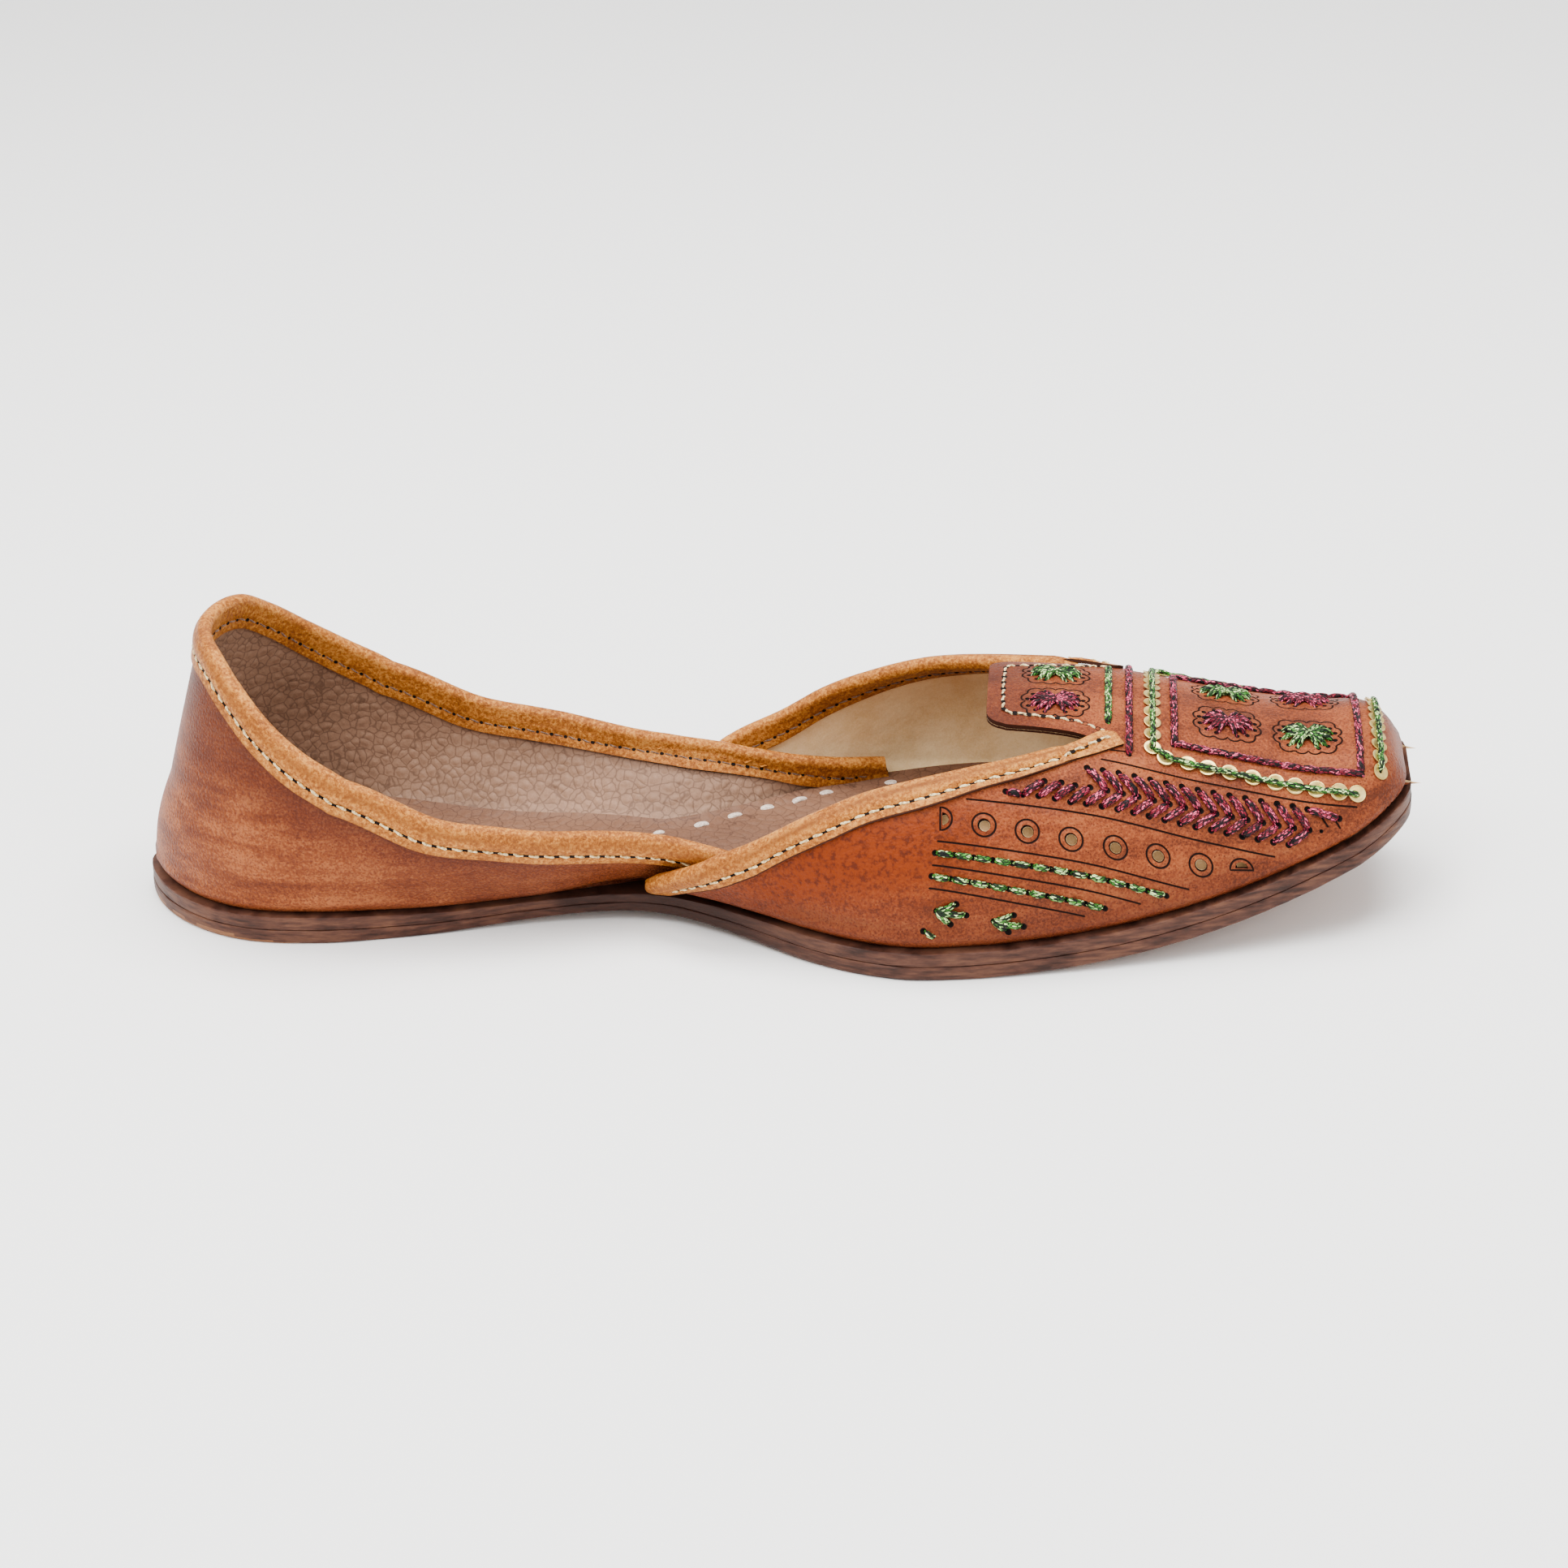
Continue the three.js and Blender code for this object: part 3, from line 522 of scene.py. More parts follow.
# The flesh side of a hide or a suede: matt, cloudy, with short fibres
def suedeLeather(name, deep, light):
    m = newMaterial(name)
    place = addNode(m, "ShaderNodeTexCoord").outputs["Object"]
    cloud = addNode(m, "ShaderNodeTexNoise", {"Scale": perMm(14), "Detail": 6, "Roughness": 0.6},
                    {"Vector": place})
    fibre = addNode(m, "ShaderNodeTexNoise", {"Scale": perMm(0.4), "Detail": 3}, {"Vector": place})
    clouded = addNode(m, "ShaderNodeMath", {"operation": "MULTIPLY", 1: 0.75}, {0: cloud})
    tone = addNode(m, "ShaderNodeMath", {"operation": "MULTIPLY_ADD", 1: 0.25}, {0: fibre, 2: clouded})
    base = addNode(m, "ShaderNodeValToRGB", {"stops": [(0.35, deep), (0.65, light)]}, {"Fac": tone})
    crease = addNode(m, "ShaderNodeTexNoise", {"Scale": perMm(5), "Detail": 4}, {"Vector": place})
    relief = addNode(m, "ShaderNodeMath", {"operation": "MULTIPLY_ADD", 1: 0.08}, {0: fibre, 2: crease})
    bump = addNode(m, "ShaderNodeBump", {"Strength": 0.5, "Distance": 0.001}, {"Height": relief})
    return surface(m, {"Roughness": 0.9, "Specular IOR Level": 0.1}, {"Base Color": base, "Normal": bump})


# Cut or scored leather, charred dark by the tool; the same dark is also painted shadow in thread holes,
# lacing holes and at the lining's hole rims
def cutLeather(name, color):
    m = newMaterial(name)
    place = addNode(m, "ShaderNodeTexCoord").outputs["Object"]
    fibre = addNode(m, "ShaderNodeTexNoise", {"Scale": perMm(0.5), "Detail": 3}, {"Vector": place})
    charring = addNode(m, "ShaderNodeMath", {"operation": "MULTIPLY_ADD", 1: 0.9, 2: 0.55}, {0: fibre})
    tone = addNode(m, "ShaderNodeHueSaturation", {"Color": color}, {"Value": charring})
    bump = addNode(m, "ShaderNodeBump", {"Strength": 0.5, "Distance": 0.0001}, {"Height": fibre})
    return surface(m, {"Roughness": 0.75, "Specular IOR Level": 0.1}, {"Base Color": tone, "Normal": bump})


# Embroidery yarn plaited from flat metallic foil: bright flecks lie along the strand with black between them;
# the brightest stop is a painted glint of the foil and the black at the flecks' borders is painted shade in
# the plait's gaps
def foilYarn(name, black, deep, bright, glint):
    m = newMaterial(name)
    strip = addNode(m, "ShaderNodeUVMap", {"uv_map": "thread"})
    skewed = addNode(m, "ShaderNodeMapping", {"Rotation": (0, 0, 0.35), "Scale": (1.15, 2.9, 1)},
                     {"Vector": strip})
    flecks = addNode(m, "ShaderNodeTexVoronoi",
                     {"voronoi_dimensions": "2D", "Scale": 1.0, "Randomness": 0.75}, {"Vector": skewed})
    borders = addNode(m, "ShaderNodeTexVoronoi", {"voronoi_dimensions": "2D", "feature": "DISTANCE_TO_EDGE",
                                                  "Scale": 1.0, "Randomness": 0.75}, {"Vector": skewed})
    lot = addNode(m, "ShaderNodeSeparateColor", {}, {0: flecks.outputs["Color"]})
    tone = addNode(m, "ShaderNodeValToRGB", {"stops": [(0.14, black), (0.3, deep), (0.6, bright),
                                                       (0.9, glint)]}, {"Fac": lot})
    fleck = addNode(m, "ShaderNodeMapRange", {"interpolation_type": "SMOOTHSTEP", "From Min": 0.04,
                                              "From Max": 0.25}, {"Value": borders})
    base = addNode(m, "ShaderNodeMix", {"data_type": "RGBA", 6: black}, {0: fleck, 7: tone})
    bump = addNode(m, "ShaderNodeBump", {"Strength": 0.8, "Distance": 0.00022}, {"Height": fleck})
    return surface(m, {"Metallic": 0.15, "Roughness": 0.45, "Specular IOR Level": 0.2},
                   {"Base Color": base.outputs[2], "Normal": bump})


# Waxed cotton or linen sewing thread
def sewingThread(name, dark, light):
    m = newMaterial(name)
    place = addNode(m, "ShaderNodeTexCoord").outputs["Object"]
    fibre = addNode(m, "ShaderNodeTexNoise", {"Scale": perMm(0.35), "Detail": 3}, {"Vector": place})
    base = addNode(m, "ShaderNodeValToRGB", {"stops": [(0.35, dark), (0.6, light)]}, {"Fac": fibre})
    return surface(m, {"Roughness": 0.6, "Sheen Weight": 0.3}, {"Base Color": base})


# Pressed brass sequin with a pale gold wash
def goldSequin(name, color):
    m = newMaterial(name)
    place = addNode(m, "ShaderNodeTexCoord").outputs["Object"]
    smear = addNode(m, "ShaderNodeTexNoise", {"Scale": perMm(2), "Detail": 3}, {"Vector": place})
    base = addNode(m, "ShaderNodeValToRGB", {"stops": [(0.3, color), (0.7, "#efd88e")]}, {"Fac": smear})
    gloss = addNode(m, "ShaderNodeMapRange", {"To Min": 0.2, "To Max": 0.38}, {"Value": smear})
    return surface(m, {"Metallic": 0.85}, {"Base Color": base, "Roughness": gloss})


vampLeather = burnishedLeather("burnished_cow_leather_vamp", "#4f2312", "#77371b", "#8f4c28", "#702a05",
                               "#37130b")
quarterLeather = burnishedLeather("burnished_cow_leather_quarter", "#55240f", "#743819", "#96552e", "#8a3a12",
                                  "#421a12")
bindingLeather = strapLeather("tan_strap_leather", "#743e12", "#9b5b1e", "#bf7f36")
quarterLiningLeather = pebbledLeather("pebbled_lining_leather", "#40291e", "#785a46", "#8d6c56", 2.1, 0.34,
                                      0.1, 0.55)
insoleLeather = pebbledLeather("crackled_insole_leather", "#352016", "#5a3c2c", "#6e4d39", 2.6, 0.38, 0.055,
                               0.65)
# The second suede is a darker copy of the lining suede: painted shade where the lining shows through the
# punched holes
vampLining = suedeLeather("sheep_suede_lining", "#d8b07a", "#f4d4a2")
shadedSuede = suedeLeather("sheep_suede_painted_shade_in_holes", "#7d5c36", "#a8845a")
soleEdge = soleLeather("stained_sole_leather", "#2a1711", "#482b21", "#63402f")
soleUnder = soleLeather("raw_sole_leather", "#5e3a24", "#7a4f33", "#8d6242")
scoredAndRimShadow = cutLeather("scored_leather_and_painted_rim_shadow", "#1c0c07")
cutEdge = cutLeather("cut_leather_edge", "#33190f")
holeShadow = cutLeather("thread_hole_painted_shadow", "#0b0403")
lacingHoleShadow = cutLeather("lacing_hole_painted_shadow", "#4a3026")
creamThread = sewingThread("waxed_cotton_cream", "#8c7040", "#efd79c")
darkThread = sewingThread("waxed_cotton_brown", "#2a160e", "#6a4a30")
lacing = sewingThread("raw_leather_lacing", "#a08a78", "#cdbcae")
greenYarn = foilYarn("green_foil_yarn", "#020602", "#153a0f", "#43902c", "#e0ffa8")
magentaYarn = foilYarn("magenta_foil_yarn", "#080103", "#400614", "#86102a", "#ec5c80")
sequinBrass = goldSequin("pressed_brass_sequin", "#c8a350")

print("materials made")

soleSettings = {"stations": 220, "bevel": 0.8, "midsoleStep": 0.15, "crack": 0.1, "wear": 0.2, "noseRound": 9}
random.seed(7)
wearWaves = [(random.uniform(0.03, 0.9), random.uniform(0, 6.3), random.uniform(0.2, 1)) for _ in range(14)]


# Uneven hand work along an edge, in mm
def unevenness(at, row=0.0):
    waves = (part * np.sin(rate * at * 2.4 + phase + row * (2 + 5 * rate)) for rate, phase, part in wearWaves)
    return sum(waves) / 3.4


def easedStations(low, high, count, crowding=0.1):
    t = np.linspace(0, 1, count)
    return low + (high - low) * (t - crowding * np.sin(2 * math.pi * t))


# Half-width of the rounded back of a layer, a short run in from its end
def noseHalf(run):
    return math.sqrt(max(0, 2 * soleSettings["noseRound"] * run - run ** 2)) if run < 2 else 0


def layerRings(low, high, inset, bevel, across=8):
    rings = []
    for x in easedStations(inset, size["length"] - inset, soleSettings["stations"]):
        least = size["toeFlat"] / 2 if x > size["length"] - 4 else 0.9
        half = max(float(soleHalf(x, inset)), noseHalf(x - inset + 0.05), least)
        base, thin = float(soleBottom(x)), float(skiving(x))
        under = half - bevel
        side = [(bevel * math.sin(turn * math.pi / 2), low + bevel * (1 - math.cos(turn * math.pi / 2)))
                for turn in (0.35, 0.7, 1.0)]
        side += [(bevel, blend(low + bevel, high, share)) for share in (0.25, 0.5, 0.75)]
        side += [(bevel - 0.06, high - 0.16), (bevel - 0.22, high)]
        wornAndShaded = [soleSettings["wear"] * unevenness(x, k * 0.6 + low) for k in range(len(side))]
        right = [(under + out + wear * 0.5, z) for (out, z), wear in zip(side, wornAndShaded)]
        left = [(-(under + out + wear * 0.5), z) for (out, z), wear in zip(side, reversed(wornAndShaded))]
        ring = [(y, low) for y in np.linspace(-under, under, across)] + right
        ring += [(y, high) for y in np.linspace(under, -under, across)[1:-1] * 0.96] + left[::-1]
        rings.append(np.array([(x, y, base + z * thin) for y, z in ring]))
    return rings


def soleMaterials(points, faces):
    centers = np.array([points[list(f)].mean(0) for f in faces])
    above = centers[:, 2] - soleBottom(centers[:, 0])
    raw = 0.04 + 1.1 * (1 - smooth(centers[:, 0], 20, 44)) * (1 + 0.35 * unevenness(centers[:, 0]))
    return (above < raw).astype(int)


# Painted shadow: darkest along the waist, where the sole lies in shade, and a little darker everywhere
def soleShade(points):
    return {"shade": 0.15 + 0.8 * np.exp(-((points[:, 0] - 114) / 24) ** 2)}


points, faces = loftRings(layerRings(0, size["outsole"], 0, soleSettings["bevel"]))
addPiece("outsole", points, faces, [soleEdge, soleUnder], "outsole",
         soleMaterials(points, faces), attributes=soleShade(points))
points, faces = loftRings(layerRings(size["outsole"] + soleSettings["crack"],
                                     size["upperFoot"] - soleSettings["crack"], soleSettings["midsoleStep"],
                                     0.25))
addPiece("midsole", points, faces, [soleEdge], "midsole", attributes=soleShade(points))
print("sole made")

# Where the upper meets the sole it rolls under and leaves a dark gap, with a soft ridge above it
footSettings = {"rollHeight": 2.3, "rollDepth": 1.6, "ridgeHeight": 3.0, "ridgeWidth": 1.0, "ridge": 0.3}


def footRoll(above, x):
    s = footSettings
    ragged = (1 + 0.45 * unevenness(x * 3)) * (1 + 1.1 * np.exp(-((x - 148) / 24) ** 2))
    rolled = s["rollDepth"] * np.clip(1 - above / s["rollHeight"], 0, 1) ** 1.7
    return s["ridge"] * ragged * np.exp(-((above - s["ridgeHeight"]) / s["ridgeWidth"]) ** 2) - rolled


quarterSettings = {"columns": 320, "rows": 40, "crowding": 1.35, "leather": 0.95, "lining": 0.6}
turns = np.linspace(-2, 2, quarterSettings["columns"])
ups = np.linspace(0, 1, quarterSettings["rows"]) ** quarterSettings["crowding"]
grid = quarterSurface(turns[:, None], ups[None, :])
normals = gridNormals(grid)
quarterRows = quarterSettings["rows"]
faces = gridFaces(len(turns), quarterRows)


def settled(points, low):
    points = points.copy()
    points[:, 2] = np.maximum(points[:, 2], footOf(points[:, 0]) - low)
    return points


bare = grid.reshape(-1, 3)
flat = normals.reshape(-1, 3)
sideways = unit(flat * [1, 1, 0])
above = bare[:, 2] - footOf(bare[:, 0])
shown = 1 - smooth(np.abs(np.repeat(turns, quarterRows)), 1.45, 1.7)
roll = footRoll(above, bare[:, 0]) * shown
outer = bare + sideways * roll[:, None]
leatherInside = bare - flat * quarterSettings["leather"] + sideways * np.minimum(0, 0.6 * roll)[:, None]
height = np.tile(ups, len(turns))
# Darker towards the topline and towards the waist, and painted shade low at the foot where the leather rolls
# under into the gap
shade = 0.75 * smooth(height, 0.5, 0.86) + 0.35 * (1 - smooth(above, 0.3, 3.5)) + 0.4 * smooth(bare[:, 0], 25,
                                                                                               75)
points, made, kinds = shell(outer, settled(leatherInside, 0.2), faces)
addPiece("quarter", points, made, [quarterLeather, cutEdge], "quarter",
         [1 if kind == 2 else 0 for kind in kinds],
         attributes={"shade": np.tile(np.clip(shade, 0, 1), 2), "glow": np.zeros(2 * len(outer))})
liningOuter = leatherInside - flat * 0.04
liningInner = leatherInside - flat * quarterSettings["lining"]
points, made, kinds = shell(settled(liningOuter, 0.2), settled(liningInner, 0.2), faces)
addPiece("quarter_lining", points, made, [quarterLiningLeather])


# A bundle gathers tubes, discs and strips that become one piece
def newBundle():
    return {"points": [], "faces": [], "kinds": [], "uv": [], "count": 0, "run": 0.0}


def addToBundle(bundle, points, faces, kinds, uv=None):
    base = bundle["count"]
    bundle["points"].append(points)
    bundle["faces"] += [tuple(k + base for k in f) for f in faces]
    bundle["kinds"] += list(kinds)
    bundle["uv"].append(np.zeros((len(points), 2)) if uv is None else uv)
    bundle["count"] += len(points)


# A twisted strand along a line of points: its ring swells in lobes that turn as it runs
def addStrand(bundle, line, normals, s, kind=0):
    tangent = unit(np.gradient(line, axis=0))
    side = unit(np.cross(tangent, normals))
    lift = np.cross(side, tangent)
    run = runAlong(line)
    turn = np.linspace(-math.pi / 2, 1.5 * math.pi, s["sides"], endpoint=False)
    twisted = 2 * math.pi * (run[:, None] + bundle["run"]) / s["twist"]
    rope = 1 + s["lobeDepth"] * np.cos(s["lobes"] * turn[None] - twisted)
    rope = rope[:, :, None] / 2
    ring = line[:, None] + side[:, None] * np.cos(turn)[None, :, None] * s["width"] * rope
    ring = ring + lift[:, None] * np.sin(turn)[None, :, None] * s["thick"] * rope
    sides, steps = s["sides"], len(line)
    faces = [(i * sides + (j + 1) % sides, i * sides + j, (i + 1) * sides + j,
              (i + 1) * sides + (j + 1) % sides) for i in range(steps - 1) for j in range(sides)]
    faces.append(tuple(range(sides)))
    faces.append(tuple((steps - 1) * sides + j for j in reversed(range(sides))))
    girth = np.linspace(0, math.pi * (s["width"] + s["thick"]) / 2, sides)
    uv = np.stack([np.repeat(run + bundle["run"], sides), np.tile(girth, steps)], -1)
    addToBundle(bundle, ring.reshape(-1, 3), faces, [kind] * len(faces), uv)
    bundle["run"] += run[-1] + random.uniform(0, 5)


# A flat round: a thread hole shown as a disc of painted shadow, or a sequin where it has a thickness and a
# bore
def addRound(bundle, center, normal, radius, kind, thickness=0.0, bore=0.0, sides=10, stretch=1.0,
             ahead=None):
    normal = unit(np.asarray(normal, float))
    a = np.cross(normal, [0, 0, 1]) if ahead is None else ahead - normal * np.dot(ahead, normal)
    a = unit(a)
    b = np.cross(normal, a)
    turn = np.linspace(0, 2 * math.pi, sides, endpoint=False)
    ring = np.cos(turn)[:, None] * a * stretch + np.sin(turn)[:, None] * b
    if bore == 0:
        points = np.vstack([center + ring * radius, [center - normal * radius * 0.12]])
        faces = [(k, (k + 1) % sides, sides) for k in range(sides)]
    else:
        cup = 0.12 * radius
        loops = [ring * bore, ring * radius * 0.6 + normal * cup * 0.1, ring * radius * 0.93 + normal * cup,
                 ring * radius + normal * cup * 0.8, ring * radius + normal * (cup * 0.8 - thickness),
                 ring * bore - normal * thickness]
        points = np.vstack([center + loop for loop in loops])
        total = len(loops)
        pairs = [(p * sides, (p + 1) % total * sides) for p in range(total)]
        faces = [(p + k, q + k, q + (k + 1) % sides, p + (k + 1) % sides) for p,
                 q in pairs for k in range(sides)]
    addToBundle(bundle, points, faces, [kind] * len(faces))


def bundlePiece(name, bundle, materials, node=None, sharp=60):
    addPiece(name, np.vstack(bundle["points"]), bundle["faces"], materials, node, bundle["kinds"],
             uv=np.vstack(bundle["uv"]), sharp=sharp)


stitchSettings = {"pitch": 3.05, "width": 0.48, "thick": 0.44, "sides": 8, "lobes": 2, "lobeDepth": 0.26,
                  "twist": 1.6, "hole": 0.56, "gap": 0.95, "samples": 12, "slant": 0.15, "sink": 0.25}


# A row of stitches along a line on a surface, each going down into a hole at both ends, shown as a disc of
# painted shadow
def stitchRow(bundle, line, normals, pitch, thick=1.0, holeKind=1):
    s = stitchSettings
    run = runAlong(line)
    count = max(1, round(run[-1] / pitch))
    pitch = run[-1] / count

    def at(distance, values):
        return np.stack([np.interp(distance, run, values[:, k]) for k in range(3)], -1)

    thread = dict(s, width=s["width"] * thick, thick=s["thick"] * thick)
    for k in range(count):
        low, high = k * pitch + s["gap"] / 2, (k + 1) * pitch - s["gap"] / 2
        share = np.linspace(0, 1, s["samples"])
        place = at(blend(low, high, share), line)
        normal = unit(at(blend(low, high, share), normals))
        side = unit(np.cross(np.gradient(place, axis=0), normal))
        arch = s["sink"] + 0.5 * thread["thick"] * random.uniform(0.75, 1.1)
        rise = -s["sink"] + arch * np.sin(math.pi * share) ** 0.45
        slant = s["slant"] * random.uniform(0.6, 1.5) * (share - 0.5) * 2
        addStrand(bundle, place + normal * rise[:, None] + side * slant[:, None], normal, thread)
        if k:
            center, up = at(k * pitch, line), unit(at(k * pitch, normals))
            ahead = at(k * pitch + 0.2, line) - center
            addRound(bundle, center + up * 0.13, up, s["hole"] * thick * random.uniform(0.85, 1.15), holeKind,
                     sides=8, stretch=1.25, ahead=ahead)


bindingSettings = {"thickness": 0.7, "standoff": 0.06, "puff": 0.42, "stitchAt": 0.6, "stitchDip": 0.26,
                   "dipWidth": 0.075, "legRows": 16, "rollRows": 12}


# How far the strip's outer face stands off at a share of the leg, from the roll (0) to the cut edge (1)
def legOff(share):
    s = bindingSettings
    puff = s["puff"] * np.sin(np.pi * np.minimum(1, share / s["stitchAt"])) ** 0.8
    dip = s["stitchDip"] * np.exp(-((share - s["stitchAt"]) / s["dipWidth"]) ** 2)
    return s["thickness"] + s["standoff"] + puff - dip


legShares = np.append(1, np.linspace(0.945, 0, bindingSettings["legRows"])[:-1])


# The folded strip over an edge: rows run from the outer leg's cut edge over the roll to the inner leg's
def bindingGrid(surfaceAt, ats, legs, facing, slim=1.0):
    ats = np.asarray(ats, float)[:, None]
    legs = np.asarray(legs, float)[:, None]
    slim = np.broadcast_to(slim, ats.shape[:1])[:, None, None]
    s = bindingSettings
    step = 0.004

    def normalAt(up):
        at = surfaceAt(ats, up)
        return unit(facing * np.cross(surfaceAt(ats, up - step) - at, surfaceAt(ats + step, up) - at))

    columns = []
    for share in legShares:
        up = 1 - legs * share
        columns.append(surfaceAt(ats, up) + normalAt(up) * legOff(share) * slim)
    top = surfaceAt(ats, np.ones_like(ats))
    out = normalAt(np.ones_like(ats))
    upward = top - surfaceAt(ats, 1 - legs)
    upward = unit(upward - out * (upward * out).sum(-1, keepdims=True))
    radius = size["wall"] / 2 + s["standoff"] + s["thickness"]
    for turn in np.linspace(0, math.pi, s["rollRows"]):
        beside = radius * slim * math.cos(turn) - size["wall"] / 2
        columns.append(top + out * beside + upward * radius * slim * math.sin(turn))
    for share in legShares[::-1]:
        up = 1 - legs * share
        dip = 0.8 * s["stitchDip"] * math.exp(-((share - s["stitchAt"]) / s["dipWidth"]) ** 2)
        off = s["standoff"] + s["thickness"] - dip
        columns.append(surfaceAt(ats, up) - normalAt(up) * (size["wall"] + off * slim))
    return np.concatenate(columns, axis=1)


def addBinding(name, grid, node, flip, extra=None, slim=1.0):
    slim = np.broadcast_to(slim, grid.shape[:1])
    if flip:
        grid, slim = grid[::-1], slim[::-1]
    normals = gridNormals(grid)
    outer = grid.reshape(-1, 3)
    thickness = bindingSettings["thickness"] * np.repeat(slim ** 2, grid.shape[1])[:, None]
    points, made, kinds = shell(outer, outer - normals.reshape(-1, 3) * thickness,
                                gridFaces(grid.shape[0], grid.shape[1]))
    rows = grid.shape[1]
    row = np.tile(np.arange(rows), grid.shape[0])
    # The shade attribute: painted shade under the roll and inside the fold, darker at the cut edges and along
    # the stitch line
    under = np.exp(-((row - len(legShares) + 2) / 2.2) ** 2)
    inside = smooth(row, len(legShares) + bindingSettings["rollRows"] * 0.7,
                    len(legShares) + bindingSettings["rollRows"])
    edge = np.exp(-(np.minimum(row, rows - 1 - row) / 0.9) ** 2)
    seam = np.exp(-((row - len(legShares) * (1 - bindingSettings["stitchAt"])) / 0.8) ** 2)
    shade = np.tile(np.clip(0.8 * under + 0.15 * inside + 0.6 * edge + 0.4 * seam, 0, 1), 2)
    if extra is not None:
        base = len(points)
        points = np.vstack([points, extra[0]])
        made += [tuple(k + base for k in f) for f in extra[1]]
        kinds += extra[2]
        shade = np.append(shade, np.zeros(len(extra[0])))
    centers = np.array([points[list(f)].mean(0) for f in made])
    dark = np.array(kinds) == 2
    # On the wing bindings the outer leg's outermost row of faces also takes the cut-edge colour: partly the
    # cut edge, which faces down out of sight, and partly painted shadow along the strip's lower edge
    if node != "quarter_binding":
        strip = (grid.shape[0] - 1) * (rows - 1)
        dark[:strip:rows - 1] = True
        dark &= centers[:, 0] > size["wingStart"] + 1.5
    addPiece(name, points, made, [bindingLeather, cutEdge], node, dark.astype(int),
             attributes={"shade": shade}, sharp=50)
    stitchOuter = int(np.argmin(np.abs(legShares - bindingSettings["stitchAt"])))
    stitchInner = rows - 1 - stitchOuter
    return [(grid[:, k], normals[:, k]) for k in (stitchOuter, stitchInner)]


bindingStitches = newBundle()
innerStitches = newBundle()
fineTurns = np.linspace(-2, 2, 460)
tall = size["heelHeight"] * along(quarterTopline, 2, np.abs(fineTurns))
quarterLegs = np.minimum(size["bindingWidth"], tall - size["footGap"]) / tall
lines = addBinding("quarter_binding", bindingGrid(quarterSurface, fineTurns, quarterLegs, 1),
                   "quarter_binding", False)
whole = slice(34, -34)
stitchRow(bindingStitches, lines[0][0][whole], lines[0][1][whole], stitchSettings["pitch"])
stitchRow(innerStitches, lines[1][0][4:-4], lines[1][1][4:-4], stitchSettings["pitch"], 0.62)


# A wing's face for the strip on its edge: up is 1 on the topline and 0 at the foot, measured on the leather
wingXs = np.linspace(size["wingStart"] - 0.7, size["throat"] - 2.6, 280)
edgeXs = np.linspace(size["wingStart"] - 2, size["throat"], 180)
edgeVs = np.array([vAtHeight(x, float(wingTop(x))) for x in edgeXs])


def wingAt(side):
    def point(x, up):
        x, up = np.broadcast_arrays(np.asarray(x, float), np.asarray(up, float))
        u = uOf(x)
        v = blend(reachAt(u), np.interp(x, edgeXs, edgeVs), up)
        return onVamp(u, v * side)
    return point


# A line in the chart through points given by x and v, evenly spaced
def chartLine(points, spacing=0.33):
    points = np.array([(float(uOf(x)), v) for x, v in points])
    run = runAlong(points)
    count = max(5, int(run[-1] / spacing) + 1)
    at = np.linspace(0, run[-1], count)
    return np.stack([np.interp(at, run, points[:, k]) for k in (0, 1)], -1)


# Past the notch the strip lies flat on the vamp and ends in a point
tabSettings = {"upper": [(189.0, 22.0), (190.5, 21.3), (193.4, 19.6), (196, 17.6), (198.4, 15.8), (201, 15.9),
                         (202.6, 18.5)], "lower": [(189.0, 25.8), (190.5, 25.1), (193.4, 23.8), (197.4, 21.9),
                                                   (202.6, 18.7)], "columns": 44, "rows": 16, "height": 0.72}


def tab(side):
    s = tabSettings
    upper, lower = [chartLine(s[key]) for key in ("upper", "lower")]
    share = np.linspace(0, 1, s["columns"])
    upper, lower = [np.stack([np.interp(share, np.linspace(0, 1, len(edge)), edge[:, k]) for k in (0, 1)], -1)
                    for edge in (upper, lower)]
    down = np.linspace(0, 1, s["rows"])
    flat = upper[:, None] * (1 - down[None, :, None]) + lower[:, None] * down[None, :, None]
    fade = smooth(share, 0.1, 0.26) * (1 - smooth(share, 0.4, 0.7))
    puffed = legOff(down)[None, :] - bindingSettings["thickness"] - bindingSettings["standoff"]
    off = s["height"] + puffed * fade[:, None]
    off = off - 0.35 * (1 - smooth(share, 0, 0.2))[:, None]
    u, v = flat[..., 0], flat[..., 1] * side
    normal = vampNormal(u, v)
    outer = onVamp(u, v) + normal * off[..., None]
    inner = onVamp(u, v) + normal * 0.04
    if side > 0:
        outer, inner = outer[::-1], inner[::-1]
    return shell(outer.reshape(-1, 3), inner.reshape(-1, 3), gridFaces(s["columns"], s["rows"]))


